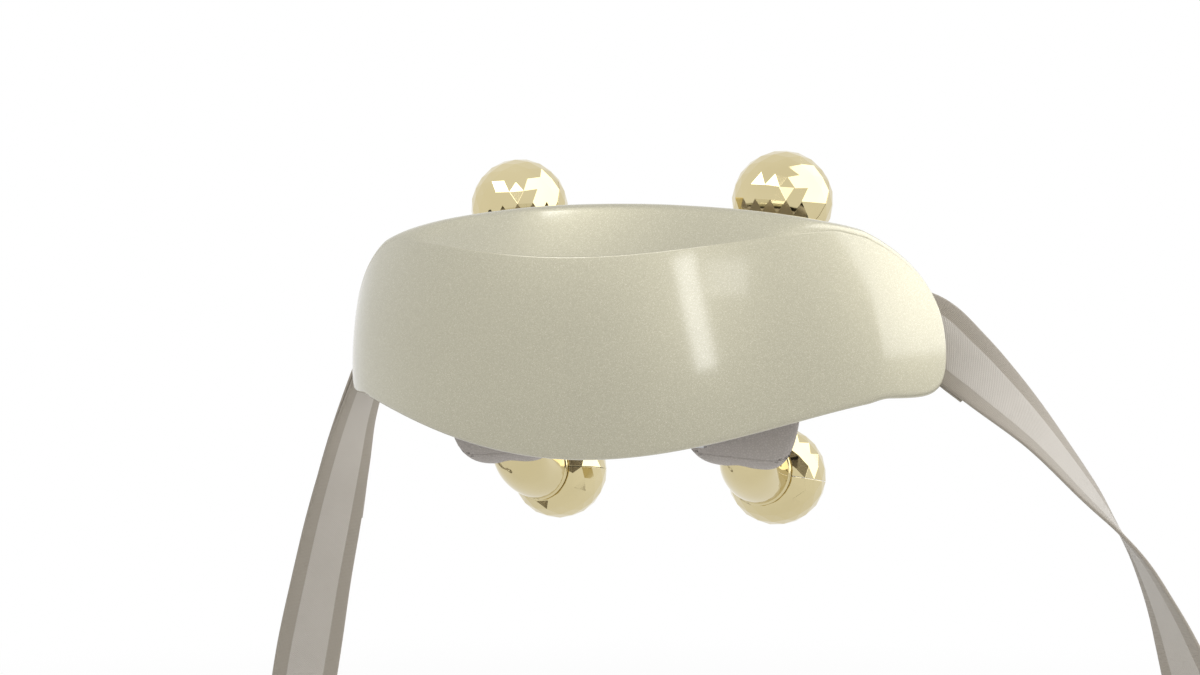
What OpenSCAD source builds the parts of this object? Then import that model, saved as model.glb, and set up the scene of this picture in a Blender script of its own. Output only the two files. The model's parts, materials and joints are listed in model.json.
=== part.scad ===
// Neck and shoulder massager: a curved casing worn behind the neck, with two rocking
// arms that each carry an upper and a lower faceted ball, and a pull strap at each wing.
// Row frame: X to the wearer's right, Y towards the neck, Z up. The origin lies on the
// middle plane, level with the arm pivots, in the plane of the upper ball centres.

/* [Casing] */
// Distance from the plane of the upper balls to the front face
front_reach = 81.6; // [79.5:0.1:84]
// Plan radius of the middle of the front face
face_radius = 165; // [155:1:175]
// Plan radius of the wing ends
wing_radius = 90; // [84:1:96]
// Height of the top edge at the middle
top_height = 51.2; // [49:0.1:55]
// Depth of the lower edge below the pivots at the middle
bottom_depth = 46.3; // [45:0.1:49]
// Depth of the lower edge of the wings below the pivots
wing_bottom_depth = 23; // [22:0.5:26]
// Height of the crease at the middle of the front face
crease_height = 30.3; // [27:0.1:33]
// How far the top edge lies behind the crease
scoop_depth = 12.5; // [10:0.5:14]
// Wall of the casing
wall = 2.4; // [2:0.1:2.6]
// Distance from the plane of the upper balls to the flat rear face
rear_reach = 38; // [37.6:0.1:39]
// Thickness of the wings
wing_depth = 17; // [16:0.5:18]
// Depth of the rear tray's rim
tray_rim = 6; // [5:0.5:7]

/* [Arms] */
// Half the distance between the two arm pivots
arm_x = 53; // [52.5:0.1:54]
// Height of the upper ball centres above the pivots
ball_rise = 54.6; // [54:0.1:57]
// Depth of the lower ball centres below the pivots
ball_drop = 56.6; // [56:0.1:59]
// Roll of each arm at rest, upper balls apart
arm_tilt = 4.7; // [4.5:0.1:5]
// How much nearer to the neck the lower balls lie
lower_ball_y = 21; // [20:0.5:23]
// Half the width of an arm cover at its back, towards the casing
cover_back_w = 24.5; // [23:0.5:25]
// Half the width of an arm cover at its neck side
cover_front_w = 15; // [14:0.5:16]
// Depth of an arm cover, from its back to the neck side
cover_depth = 31; // [30:0.5:32]
// Lower end of an arm cover below the pivot
cover_low = 52.4; // [51:0.1:54]
// Upper end of an arm cover above the pivot
cover_high = 38; // [37:0.5:40]
// Wall of an arm cover
cover_wall = 2; // [1.6:0.1:2.2]
// Running gap between the rear face and the arms
arm_gap = 2.4; // [2:0.1:3]
// Diameter of the pivot pins
pin_d = 8; // [7.5:0.1:8.4]
// Diameter of the arm hubs
hub_d = 18; // [17:0.5:19]

/* [Balls] */
// Diameter of a ball over its corners
ball_d = 40.5; // [39:0.5:41]
// Wall of a ball
ball_wall = 3; // [2.6:0.1:3.4]
// Diameter of the spindles
spindle_d = 5; // [4.6:0.1:5.4]
// Diameter of the ring at the end of an elbow
ring_d = 27; // [26:0.1:28]
// Running gap between a ring and its ball
ball_gap = 0.4; // [0.3:0.1:0.6]
// Diameter of an elbow where it leaves its cover
elbow_d = 22.6; // [21:0.1:23.5]

/* [Drive] */
// Module of the two sector gears
gear_module = 1.5; // [1.4:0.05:1.6]
// Thickness of the sector gears
gear_thick = 5; // [4:0.5:5]
// Module of the worm and its wheel
worm_module = 1.25; // [1.2:0.01:1.3]
// Teeth that the whole worm wheel would have
wheel_teeth = 48; // [46:1:50]
// Thickness of the worm wheel
wheel_thick = 4; // [3.5:0.5:4]
// Pitch diameter of the worm
worm_d = 10; // [9.6:0.1:10.2]
// Diameter of the motor
motor_d = 22; // [20:0.5:22.5]
// Length of the motor
motor_len = 27; // [24:0.5:27.5]
// Width of the battery pack
battery_w = 56; // [50:1:58]
// Height of the battery pack
battery_h = 42; // [38:1:42]
// Thickness of the battery pack
battery_thick = 6.2; // [5.4:0.1:6.2]

/* [Controls] */
// Diameter of the push buttons
button_d = 8.4; // [7.5:0.1:9]
// Spacing of the push buttons
button_pitch = 12; // [11:0.5:12.5]
// Travel of the push buttons
button_travel = 0.8; // [0.5:0.1:1]

/* [Neck pad] */
// Width of the warm pad
pad_w = 40; // [36:0.5:41]
// Height of the warm pad
pad_h = 70; // [66:1:72]
// Thickness of the warm pad
pad_thick = 7.4; // [6.6:0.1:8]

/* [Straps] */
// Width of the webbing
strap_w = 28; // [26:0.5:28.5]
// Thickness of the webbing
strap_thick = 1.6; // [1.3:0.1:1.8]
// Diameter of the steel strap bars
bar_d = 3.2; // [2.8:0.1:3.4]
// Drop of a strap from the middle of its bar to the top of its hand loop
strap_drop = 208; // [203:1:213]

/* [Hidden] */
$fn = 48;
eps = 0.01;
fit = 0.05;

// Casing outline. Angles are those of the face normal in plan.
bend_angle = 40;
end_angle = 62.9;
end_height = -5;
face_equator = -12;
face_bulge = 180;
seam_gap = 0.15;
stations = 22;
end_share = 0.998;
side_angle = end_angle - wall / wing_radius * 180 / PI;
face_centre = face_radius - front_reach;
bend_centre = [(face_radius - wing_radius) * sin(bend_angle),
  face_centre - (face_radius - wing_radius) * cos(bend_angle)];

function unit(v) = v / norm(v);
function mix(a, b, t) = a + (b - a) * t;
function clamp01(t) = min(1, max(0, t));
function smooth(t) = let (c = clamp01(t)) c * c * (3 - 2 * c);

// A point of the casing: normal angle in plan, depth below the face, height
function face_at(angle, depth, z) = let (
    far = abs(angle) > bend_angle,
    s = angle < 0 ? -1 : 1,
    r = far ? wing_radius : face_radius,
    cx = far ? s * bend_centre.x : 0,
    cy = far ? bend_centre.y : face_centre)
  [cx + (r - depth) * sin(angle), cy - (r - depth) * cos(angle), z];

// Heights of the outline at one angle; share is 0 at the middle and 1 at the wing end
function top_curve(share) = pow(max(0, 1 - pow(share, 2.2)), 1 / 2.3);
function low_curve(share) = pow(max(0, 1 - pow(share, 20)), 1 / 2.3);
function belly(angle) = abs(angle) > 45 ? 0 : pow((1 + cos(4 * angle)) / 2, 0.72);
function top_z(angle, limit, inset) =
  end_height + (top_height - end_height - inset) * top_curve(abs(angle) / limit);
function low_z(angle, limit, inset) =
  end_height - (wing_bottom_depth + end_height - inset
    + (bottom_depth - wing_bottom_depth) * belly(angle)) * low_curve(abs(angle) / limit);
function crease_rise(angle) = abs(angle) > 42 ? 10.2 : 5.1 * (1 - cos(180 * angle / 42));
function crease_z(angle, top) = min(crease_height + crease_rise(angle), top - 3.4);
function face_depth(z) = pow(z - face_equator, 2) / (2 * face_bulge);
function scoop(angle) = mix(scoop_depth, 3.4, smooth((abs(angle) - 14) / 22));

// Thickness of the casing at one angle: flat rear in the middle, even wings
function flat_depth(angle) = abs(angle) > bend_angle ? 0 :
  max(0, (-rear_reach - face_at(angle, 0, 0).y) / cos(angle));
function body_depth(angle) = let (a = flat_depth(angle), reach = 7)
  a >= wing_depth + reach ? a : a <= wing_depth - reach ? wing_depth :
  wing_depth + pow(a - wing_depth + reach, 2) / (4 * reach);

function angles(limit) = [for (i = [-stations : stations])
  limit * end_share * sin(90 * i / stations)];

face_steps = 9;
scoop_steps = 4;
edge_r = 1.6;

// Section of the casing front, from the rear of its bottom round to the rear of its top
function front_section(angle, limit, inset) = let (
    top = top_z(angle, limit, inset),
    low = low_z(angle, limit, inset),
    crease = crease_z(angle, top_z(angle, limit, 0)) - inset * 0.6,
    back = body_depth(angle) - tray_rim,
    fold = face_depth(crease) + inset,
    lip = fold + scoop(angle),
    hollow = 1 - smooth((abs(angle) - 24) / 14),
    round_off = min(edge_r, (crease - low) / 3))
  concat(
    [[back, low], [mix(back, face_depth(low) + inset + round_off, 0.5), low],
      [face_depth(low) + inset + round_off, low],
      [face_depth(low) + inset + round_off * 0.3, low + round_off * 0.3]],
    [for (i = [0 : face_steps]) let (z = mix(low + round_off, crease, i / face_steps))
      [face_depth(z) + inset, z]],
    [for (i = [1 : scoop_steps]) let (t = i / scoop_steps,
        bowl = t + 0.2 * t * (1 - t), dome = 1 - cos(90 * t))
      [fold + (lip - fold) * mix(dome, bowl, hollow),
        crease + (top - crease) * mix(sin(90 * t), t, hollow)]],
    [[lip + 1.4, top - 0.1], [mix(lip, back, 0.5), top - 0.6], [back, top - 1.2]]);

// Section of the rear tray, from the front of its bottom round to the front of its top
function tray_section(angle, limit, inset) = let (
    top = top_z(angle, limit, inset) - 1.4,
    low = low_z(angle, limit, inset) + 0.2,
    deep = body_depth(angle) - inset,
    start = body_depth(angle) - tray_rim + seam_gap,
    corner = min(2.4, (top - low) / 4))
  [[start, low], [deep - corner, low], [deep - corner * 0.3, low + corner * 0.3],
    [deep, low + corner], [deep, top - corner], [deep - corner * 0.3, top - corner * 0.3],
    [deep - corner, top], [start, top]];

// A tub: two skins of equal grids, closed at both ends and joined along the open rim.
// The grids run with X, and round the outside anticlockwise or, flipped, clockwise.
module tub(outer, inner, flipped) {
  n = len(outer);
  m = len(outer[0]);
  pts = concat([for (row = outer) each row], [for (row = inner) each row]);
  base = n * m;
  skin = [for (i = [0 : n - 2]) for (j = [0 : m - 2]) let (a = i * m + j, b = a + m)
    each [[a, b, b + 1], [a, b + 1, a + 1]]];
  lining = [for (f = skin) [base + f[2], base + f[1], base + f[0]]];
  rim = [for (i = [0 : n - 2]) let (a = i * m, b = a + m)
    each [[a, base + a, base + b], [a, base + b, b],
      [a + m - 1, base + b + m - 1, base + a + m - 1], [a + m - 1, b + m - 1, base + b + m - 1]]];
  last = (n - 1) * m;
  ends = [
    [for (j = [0 : m - 1]) j],
    [for (j = [m - 1 : -1 : 0]) base + j],
    [for (j = [m - 1 : -1 : 0]) last + j],
    [for (j = [0 : m - 1]) base + last + j],
    [0, m - 1, base + m - 1], [0, base + m - 1, base],
    [last, base + last, base + last + m - 1], [last, base + last + m - 1, last + m - 1]];
  faces = concat(skin, lining, rim, ends);
  polyhedron(pts, flipped ? [for (f = faces) [for (k = [len(f) - 1 : -1 : 0]) f[k]]] : faces);
}

function grid(limit, inset, tray) = [for (a = angles(limit)) [for (p = tray
    ? tray_section(a, limit, inset) : front_section(a, limit, inset)) face_at(a, p[0], p[1])]];

// Places a child on the casing: its Z points out of the front face
module on_face(angle, depth, z) {
  translate(face_at(angle, depth, z)) rotate([90, 0, angle]) children();
}

// Positions along the depth of the middle of the casing
plate_y = -rear_reach - wall;
gear_y = plate_y - 7.6;
worm_y = gear_y - 7;
frame_y = worm_y - 2.5;
frame_thick = 2.5;
frame_back = frame_y - frame_thick;
battery_back = -front_reach + 13.4;
cover_back_y = -rear_reach + arm_gap + 0.4;
stub_y = cover_back_y + 16.2;
post_d = 8;
mid_post_x = 4.7;
mid_post_z = 26;
posts = [[-arm_x, 20.5], [-arm_x, -20.5], [arm_x, 20.5], [arm_x, -20.5],
  [mid_post_x, mid_post_z], [mid_post_x, -mid_post_z]];
wing_posts = [[37.5, 18], [37.5, -12], [-37.5, 18], [-37.5, -12]];
post_hole_d = 2.4;
hub_hole_d = hub_d + 12;

// Drive centres
wheel_r = worm_module * wheel_teeth / 2;
worm_r = worm_d / 2;
worm_x = -arm_x + wheel_r + worm_r;
worm_lead = PI * worm_module;
worm_len = 3.25 * worm_lead;
worm_turn = wheel_teeth * arm_tilt;
shaft_d = 3;
motor_top = -12.6;

// Controls on the inner side of the right wing
panel_angle = 44;
panel_w = 14;
panel_z = 3;
panel_h = 2 * button_pitch + button_d + 10;
light_at = 1.5 * button_pitch + 1;
light_d = 2.4;
panel_thick = 2.4;
panel_proud = 0.6;
board_depth = 8.6;
board_thick = 1.6;

module at_panel(depth) { on_face(panel_angle, depth, panel_z) rotate([180, 0, 0]) children(); }

// Socket on the lower edge of the main board
socket_x = 42;
socket_w = 9;
socket_thick = 3.3;
socket_len = 7.6;
board_y = frame_back - 5.2;
board_x = [26, 48];
board_z = [-36, -8];
socket_y = board_y + board_thick + socket_thick / 2 + fit;
socket_angle = asin(socket_x / face_radius);
socket_low = low_z(socket_angle, end_angle, 0) + 0.6;

// Arms: local frame at the pivot, with X and Z turned by the roll at rest
lower_aim = [7, -7];
upper_aim = [14.4, 59];
upper_stub_z = 27;
lower_stub_z = -44;
ball_r = ball_d / 2;
ball_cut = ball_r * 0.73;
ring_thick = 1.8;
stub_d = 14;
stub_len = 13.8;
socket_wall = 2.4;

function aim(a) = [cos(a[1]) * sin(a[0]), cos(a[1]) * cos(a[0]), sin(a[1])];
function ball_at(upper) = upper ? [0, 0, ball_rise] : [0, lower_ball_y, -ball_drop];
function ball_aim(upper) = upper ? upper_aim : lower_aim;
function ring_back(upper) = ball_at(upper)
  - (ball_cut + ball_gap + ring_thick / 2) * aim(ball_aim(upper));

module along(a) { rotate([0, 0, -a[0]]) rotate([a[1] - 90, 0, 0]) children(); }
module arm_place(side) { translate([side * arm_x, 0, 0]) rotate([0, side * arm_tilt, 0]) children(); }
module ball_place(side, upper) {
  arm_place(side) translate(ball_at(upper)) along(ball_aim(upper)) children();
}
module tube(d, bore, h) {
  difference() {
    cylinder(d = d, h = h);
    translate([0, 0, -1]) cylinder(d = bore, h = h + 2);
  }
}
// A cylinder along Y from y0 to y1
module y_rod(d, y0, y1) { translate([0, y0, 0]) rotate([-90, 0, 0]) cylinder(d = d, h = y1 - y0); }
module slab(x, y, z) { translate([x[0], y[0], z[0]]) cube([x[1] - x[0], y[1] - y[0], z[1] - z[0]]); }

// Casing

module outer_shell() {
  color("#8c8871") difference() {
    union() {
      tub(grid(end_angle, 0, false), grid(side_angle, wall, false), true);
      for (p = wing_posts) on_face(p[0], body_depth(p[0]) - wall - 0.2, p[1])
        cylinder(d = post_d - 1, h = body_depth(p[0]) - wall - 0.2 - wall * 0.6 - face_depth(p[1]));
    }
    for (p = wing_posts) on_face(p[0], body_depth(p[0]), p[1])
      translate([0, 0, -1]) cylinder(d = post_hole_d, h = 11);
    translate([socket_x, socket_y, -40]) cube([socket_w + 0.6, socket_thick + 0.6, 14], center = true);
  }
}

module rear_housing() {
  color("#b4aca2") difference() {
    union() {
      tub(grid(end_angle - 0.2, 0.1, true), grid(side_angle, wall, true), false);
      for (p = posts) translate([p[0], 0, p[1]]) y_rod(post_d, frame_y, plate_y + 0.6);
    }
    for (p = posts) translate([p[0], 0, p[1]]) y_rod(post_hole_d, frame_y - 1, plate_y - 1);
    for (s = [-1, 1]) translate([s * arm_x, 0, 0]) y_rod(hub_hole_d, plate_y - 2, -rear_reach + 2);
    for (p = wing_posts) on_face(p[0], body_depth(p[0]) + 1, p[1]) {
      cylinder(d = 3, h = wall + 2);
      cylinder(d = 6, h = 1 + head_seat);
    }
    at_panel(body_depth(panel_angle) - wall - 1)
      translate([0, 0, wall / 2 + 1]) cube([panel_w + 0.2, panel_h + 0.2, wall + 4], center = true);
  }
}

// Height of the middle of the warm pad, and how far its heating film stops short of its edges
pad_z = 4;
film_inset = [4, 7];

module neck_pad() {
  color("#8f877d") pillow([0, -rear_reach + 0.7, pad_z], [pad_w / 2, pad_thick, pad_h / 2], 20);
}

// A pad with a flat back and a crowned front: centre of its back, half sizes, steps
module pillow(at, half, steps) {
  ring = [for (i = [0 : steps - 1]) let (a = 360 * i / steps, c = cos(a), s = sin(a))
    [half.x * sign(c) * pow(abs(c), 0.5), half.z * sign(s) * pow(abs(s), 0.5)]];
  levels = [[0.97, 0], [1, 0.12], [1, 0.5], [0.95, 0.72], [0.84, 0.88], [0.6, 0.97], [0.3, 1]];
  n = len(levels);
  pts = [for (l = levels) for (p = ring) [at.x + p[0] * l[0], at.y + half.y * l[1], at.z + p[1] * l[0]]];
  side = [for (k = [0 : n - 2]) for (i = [0 : steps - 1])
    let (a = k * steps + i, b = k * steps + (i + 1) % steps)
    each [[a, b, b + steps], [a, b + steps, a + steps]]];
  polyhedron(pts, concat([[for (i = [steps - 1 : -1 : 0]) i]], side,
    [[for (i = [0 : steps - 1]) (n - 1) * steps + i]]));
}

module heating_film() {
  half = [pad_w / 2 - film_inset[0], pad_h / 2 - film_inset[1]];
  color("#c27b2a")
    slab([-half[0], half[0]], [-rear_reach + 0.05, -rear_reach + 0.4], [pad_z - half[1], pad_z + half[1]]);
}

// Drive frame

module drive_frame() {
  color("#6d7278") difference() {
    union() {
      slab([-arm_x - 9, arm_x + 9], [frame_back, frame_y], [-25, 25]);
      slab([mid_post_x - 5, mid_post_x + 5], [frame_back, frame_y], [-mid_post_z - 4.5, mid_post_z + 4.5]);
      for (s = [-1, 1]) translate([s * arm_x, 0, 0]) y_rod(pin_d + 8, frame_back - 1.5, frame_y);
      translate([worm_x, worm_y, motor_top - 10.4]) cylinder(d = motor_d + 4, h = 9);
      slab([worm_x - 2.8, worm_x + 3.6], [frame_y - 0.1, worm_y + 3.2], [8.4, 12.6]);
      for (z = [-20, 8]) slab([19, 25], [battery_back + 0.1, frame_back], [z - 2, z + 2]);
      slab([-38, -26.6], [battery_back + 0.1, frame_back], [9, 13]);
      for (x = [board_x[0] + 3, board_x[1] - 3]) for (z = [-22, -11])
        translate([x, 0, z]) y_rod(4, board_y + board_thick, frame_back + eps);
    }
    slab([worm_x - motor_d / 2 - 1.2, worm_x + motor_d / 2 + 1.2],
      [frame_y - 9, frame_y + 1], [motor_top - 1.3, 8.3]);
    slab([worm_x - 7.5, worm_x + 7.5], [frame_y - 9, frame_back - 0.2], [8, 13]);
    translate([worm_x, worm_y, motor_top - 30]) cylinder(d = motor_d + 2 * fit, h = 40);
    translate([worm_x, worm_y, 0]) cylinder(d = shaft_d + 2 * fit, h = 20);
    for (s = [-1, 1]) translate([s * arm_x, 0, 0]) y_rod(pin_d + 2 * fit, frame_back - 9, frame_y + 7);
    for (p = posts) translate([p[0], 0, p[1]]) y_rod(3, frame_back - 9, frame_y + 7);
    slab([worm_x + 6, worm_x + 16], [gear_y - 0.7, gear_y + 10], [-40, motor_top + 2]);
  }
}

hub_y = frame_y + 0.5;
hub_end_y = cover_back_y + 15.8;
pin_end_y = hub_end_y + 1.8;

module pivot_pins() {
  color("#c9ccd0") for (s = [-1, 1]) translate([s * arm_x, 0, 0]) difference() {
    y_rod(pin_d, frame_back - 1.5, pin_end_y);
    y_rod(3, pin_end_y - 8, pin_end_y + 1);
  }
}

module pivot_caps() {
  color("#9ea2a6") for (s = [-1, 1]) translate([s * arm_x, 0, 0]) {
    y_rod(pin_d + 4, pin_end_y, pin_end_y + 1.8);
    y_rod(3 - 2 * fit, pin_end_y - 7, pin_end_y + eps);
  }
}

module motor() {
  color("#aeb2b6") translate([worm_x, worm_y, motor_top - motor_len]) difference() {
    union() {
      cylinder(d = motor_d, h = motor_len);
      cylinder(d = 7, h = motor_len + 1.4);
    }
    translate([0, 0, 3]) cylinder(d = shaft_d + 2 * fit, h = motor_len);
  }
}

// One thread of the worm, drawn as its own outline across the axis
function thread_r(turn) = let (
    s = abs(turn - round(turn)) * worm_lead,
    half = worm_lead / 4 - 0.12,
    r = worm_r + (half - s) / tan(20))
  min(worm_r + worm_module, max(worm_r - 1.25 * worm_module, r));

module motor_worm() {
  sides = 18;
  color("#d8b25a") translate([worm_x, worm_y, 0]) {
    translate([0, 0, -worm_len / 2]) rotate([0, 0, -worm_turn - 180 * worm_len / worm_lead])
      linear_extrude(height = worm_len, twist = -360 * worm_len / worm_lead,
        slices = round(12 * worm_len / worm_lead), segments = sides)
      polygon([for (i = [0 : sides - 1]) thread_r(i / sides) * [cos(360 * i / sides), sin(360 * i / sides)]]);
    translate([0, 0, motor_top - 20]) cylinder(d = shaft_d, h = 20 - motor_top + 12);
    translate([0, 0, motor_top + 1.7]) cylinder(d = 6, h = -worm_len / 2 - motor_top - 1.7 + eps);
  }
}

module battery_pack() {
  color("#3d6fa3")
    slab([-battery_w / 2, battery_w / 2], [battery_back - battery_thick, battery_back], [12 - battery_h, 12]);
}

module main_board() {
  color("#2f6b3c") difference() {
    union() {
      slab(board_x, [board_y, board_y + board_thick], board_z);
      slab([32, 41], [board_y + board_thick - eps, board_y + board_thick + 1.4], [-21, -13]);
      slab([38, 43], [board_y + board_thick - eps, board_y + board_thick + 2.4], [-31.5, -27]);
    }
    slab([socket_x - 3, socket_x + 3], [board_y - 1, board_y + 0.4], [-36.4, -35.8]);
  }
}

module charge_socket() {
  translate([socket_x, socket_y, socket_low]) color("#b9bdc2") difference() {
    translate([0, 0, socket_len / 2]) cube([socket_w, socket_thick, socket_len], center = true);
    translate([0, 0, 2.6 - 0.5]) cube([socket_w - 0.8, socket_thick - 0.8, 6.2], center = true);
  }
}

module buzzer() {
  color("#222426") translate([board_x[0] + 4.4, 0, -29]) difference() {
    y_rod(8, board_y + board_thick + 0.02, board_y + board_thick + 2.8);
    y_rod(1.6, board_y + board_thick + 1.6, board_y + board_thick + 4);
  }
}

// Controls

module button_board() {
  color("#2f6b3c") at_panel(board_depth) {
    translate([0, 0, board_thick / 2]) cube([panel_w - 3, panel_h - 3, board_thick], center = true);
    for (k = [-1 : 1]) translate([0, k * button_pitch, board_thick - eps]) {
      cylinder(d = 6, h = 1.4);
      cylinder(d = 3, h = 1.8);
    }
  }
}

module button_panel() {
  back = body_depth(panel_angle);
  color("#9d958b") difference() {
    union() {
      at_panel(back - panel_thick + panel_proud)
        translate([0, 0, panel_thick / 2]) cube([panel_w, panel_h, panel_thick], center = true);
      at_panel(board_depth + board_thick)
        for (x = [-1, 1]) for (y = [-1, 1]) translate([x * (panel_w / 2 - 2.6), y * (panel_h / 2 - 2.6), 0])
          cylinder(d = 2, h = back - panel_thick + panel_proud - board_depth - board_thick + eps);
    }
    at_panel(board_depth) for (k = [-1 : 1]) translate([0, k * button_pitch, 0])
      cylinder(d = button_d + 0.3, h = 20);
    at_panel(board_depth) translate([0, light_at, 0]) cylinder(d = light_d + 2 * fit, h = 20);
  }
}

module push_button(k) {
  back = body_depth(panel_angle);
  under = board_depth + board_thick + 1.8 + button_travel + 0.15;
  at_panel(under) translate([0, k * button_pitch, 0]) {
    cylinder(d = button_d + 1.6, h = back - panel_thick + panel_proud - under - 0.15);
    cylinder(d = button_d, h = back + panel_proud + 1 - under);
  }
}
module power_button() { color("#d9c58a") push_button(1); }
module mode_button() { color("#8f877d") push_button(0); }
module heat_button() { color("#8f877d") push_button(-1); }

module status_light() {
  color("#f2f4f6") at_panel(board_depth + board_thick + 0.05) translate([0, light_at, 0])
    cylinder(d = light_d, h = body_depth(panel_angle) + panel_proud + 0.2 - board_depth - board_thick);
}

// Fasteners

head_h = 1.2;
head_seat = 1.7;
plug_h = 0.45;

module screw(len) {
  difference() {
    cylinder(d = 5, h = head_h);
    translate([0, 0, -1]) cylinder(d = 2, h = 1.6, $fn = 6);
  }
  translate([0, 0, head_h - eps]) cylinder(d = 2.3, h = len);
}

module casing_screws() {
  color("#8d9196") for (p = wing_posts) on_face(p[0], body_depth(p[0]), p[1])
    translate([0, 0, head_seat - head_h - 0.02]) screw(8);
}

module frame_screws() {
  color("#8d9196") for (p = posts) translate([p[0], frame_back - head_h - 0.02, p[1]])
    rotate([-90, 0, 0]) screw(9);
}

module screw_plugs() {
  color("#b4aca2") for (p = wing_posts) on_face(p[0], body_depth(p[0]), p[1])
    translate([0, 0, -0.05]) cylinder(d = 5.8, h = plug_h);
}

// Arms. The frame carries the hub, the gear seat and the sockets of both elbows.

bush_d = 12;
bush_len = 8;

module arm_frame(side) {
  arm_place(side) difference() {
    union() {
      y_rod(hub_d, side < 0 ? hub_y : gear_y, hub_end_y);
      y_rod(hub_d + 6, cover_back_y + 4.6, cover_back_y + 10);
      slab([-9, 9], [cover_back_y + 4.6, cover_back_y + 9], [-36, 24]);
      translate([0, stub_y, lower_stub_z]) cylinder(d = stub_d + 2 * socket_wall, h = 19);
      slab([-3, 3], [cover_back_y + 6, stub_y], [-42, -26]);
      translate([0, stub_y, 11]) cylinder(d = stub_d + 2 * socket_wall, h = upper_stub_z - 11);
      slab([-3, 3], [cover_back_y + 6, stub_y], [11, 26]);
    }
    y_rod(pin_d + 0.6, hub_y - 1, 0);
    y_rod(bush_d + 2 * fit, hub_y - 1, (side < 0 ? hub_y : gear_y) + bush_len);
    y_rod(bush_d + 2 * fit, hub_end_y - bush_len, 0);
    translate([0, stub_y, lower_stub_z - 1]) cylinder(d = stub_d + 2 * fit, h = stub_len + 1.2);
    translate([0, stub_y, upper_stub_z - stub_len - 0.2]) cylinder(d = stub_d + 2 * fit, h = 30);
  }
}
module left_arm_frame() { color("#7a7f85") arm_frame(-1); }
module right_arm_frame() { color("#7a7f85") arm_frame(1); }

module arm_bushes(side) {
  arm_place(side) for (y = [(side < 0 ? hub_y : gear_y), hub_end_y - bush_len]) difference() {
    y_rod(bush_d, y, y + bush_len);
    y_rod(pin_d + 2 * fit, y - 1, y + bush_len + 1);
  }
}
module left_arm_bushes() { color("#b98a4a") arm_bushes(-1); }
module right_arm_bushes() { color("#b98a4a") arm_bushes(1); }

// Involute teeth about the pivot, on the side that faces +X
function inv(a) = tan(a) * 180 / PI - a;
function tooth_half(r, pitch_r, mod, slack) = let (
    base = pitch_r * cos(20), a = r <= base ? 0 : acos(base / r))
  (PI * mod / 4 - slack) / pitch_r * 180 / PI + inv(20) - inv(a);
function tooth(centre, pitch_r, mod, slack) = let (
    lo = pitch_r - 1.25 * mod, hi = pitch_r + mod, steps = 5,
    radii = [for (i = [0 : steps]) mix(lo, hi, i / steps)],
    halves = [for (r = radii) tooth_half(r, pitch_r, mod, slack)])
  concat([for (i = [0 : steps]) radii[i] * [cos(centre - halves[i]), sin(centre - halves[i])]],
    [for (i = [steps : -1 : 0]) radii[i] * [cos(centre + halves[i]), sin(centre + halves[i])]]);

module sector(pitch_r, mod, count, slack, thick, first) {
  pitch = mod * 180 / pitch_r;
  root = pitch_r - 1.25 * mod;
  reach = (count + 0.3) * pitch / 2;
  difference() {
    linear_extrude(height = thick) union() {
      circle(d = hub_d + 7);
      polygon([[0, -8], [root - 2, -7.4], [root - 2, 7.4], [0, 8]]);
      polygon(concat(
        [for (i = [8 : -1 : 0]) let (a = mix(-reach, reach, i / 8)) (root - 4) * [cos(a), sin(a)]],
        [for (k = [0 : count - 1]) each tooth(first + k * pitch, pitch_r, mod, slack)]));
    }
    translate([0, 0, -1]) cylinder(d = hub_d + 2 * fit, h = thick + 2);
  }
}

// Turns a gear drawn in the XY plane so that it lies across Y, its teeth facing side
module gear_place(side, y, thick) {
  arm_place(side) translate([0, y + thick, 0]) rotate([90, 0, 0])
    rotate([0, 0, side < 0 ? 0 : 180]) children();
}
gear_pitch = gear_module * 180 / arm_x;

module left_sector_gear() {
  color("#e4e0d4") gear_place(-1, gear_y, gear_thick)
    sector(arm_x, gear_module, 7, 0.08, gear_thick, -3 * gear_pitch);
}
module right_sector_gear() {
  color("#e4e0d4") gear_place(1, gear_y, gear_thick)
    sector(arm_x, gear_module, 8, 0.08, gear_thick, -3.5 * gear_pitch);
}
module worm_wheel() {
  pitch = 360 / wheel_teeth;
  color("#e9e3cf") gear_place(-1, worm_y - wheel_thick / 2, wheel_thick)
    sector(wheel_r, worm_module, 5, 0.2, wheel_thick, -2 * pitch);
}

// The arm cover is a rounded pod, widest at the back, where its own plate closes it
pod_steps = 12;
pod_sides = 24;
pod_mid_y = cover_back_y + cover_depth / 2;
// What the rounded corners take off the width at the back is added before they are rounded
cover_flare = 1.2;

function pod_ring(t, inset) = let (
    s = pow(max(0, 1 - pow(abs(t), 6)), 0.2),
    mid = (cover_high - cover_low) / 2,
    tall = (cover_high + cover_low) / 2 - inset,
    hy = (cover_depth / 2 - inset) * s)
  [for (i = [0 : pod_sides - 1]) let (a = 360 * i / pod_sides, c = cos(a), q = sin(a),
      y = sign(q) * pow(abs(q), q < 0 ? 0.4 : 0.8),
      hx = (mix(cover_front_w, cover_back_w * cover_flare, pow((1 - y) / 2, 3)) - inset) * s)
    [hx * sign(c) * pow(abs(c), q < 0 ? 0.25 : 0.8), pod_mid_y + hy * y, mid + tall * t]];

module pod(inset) {
  rings = [for (k = [0 : pod_steps]) pod_ring(0.985 * sin(mix(-90, 90, k / pod_steps)), inset)];
  n = len(rings);
  m = pod_sides;
  side = [for (k = [0 : n - 2]) for (i = [0 : m - 1]) let (a = k * m + i, b = k * m + (i + 1) % m)
    each [[a, b + m, b], [a, a + m, b + m]]];
  polyhedron([for (r = rings) each r], concat([[for (i = [0 : m - 1]) i]], side,
    [[for (i = [m - 1 : -1 : 0]) (n - 1) * m + i]]));
}

plate_split = 4;
// The hollow stops this far short of the pod's lower and upper end
pod_ends = [5.4, 5];

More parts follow.
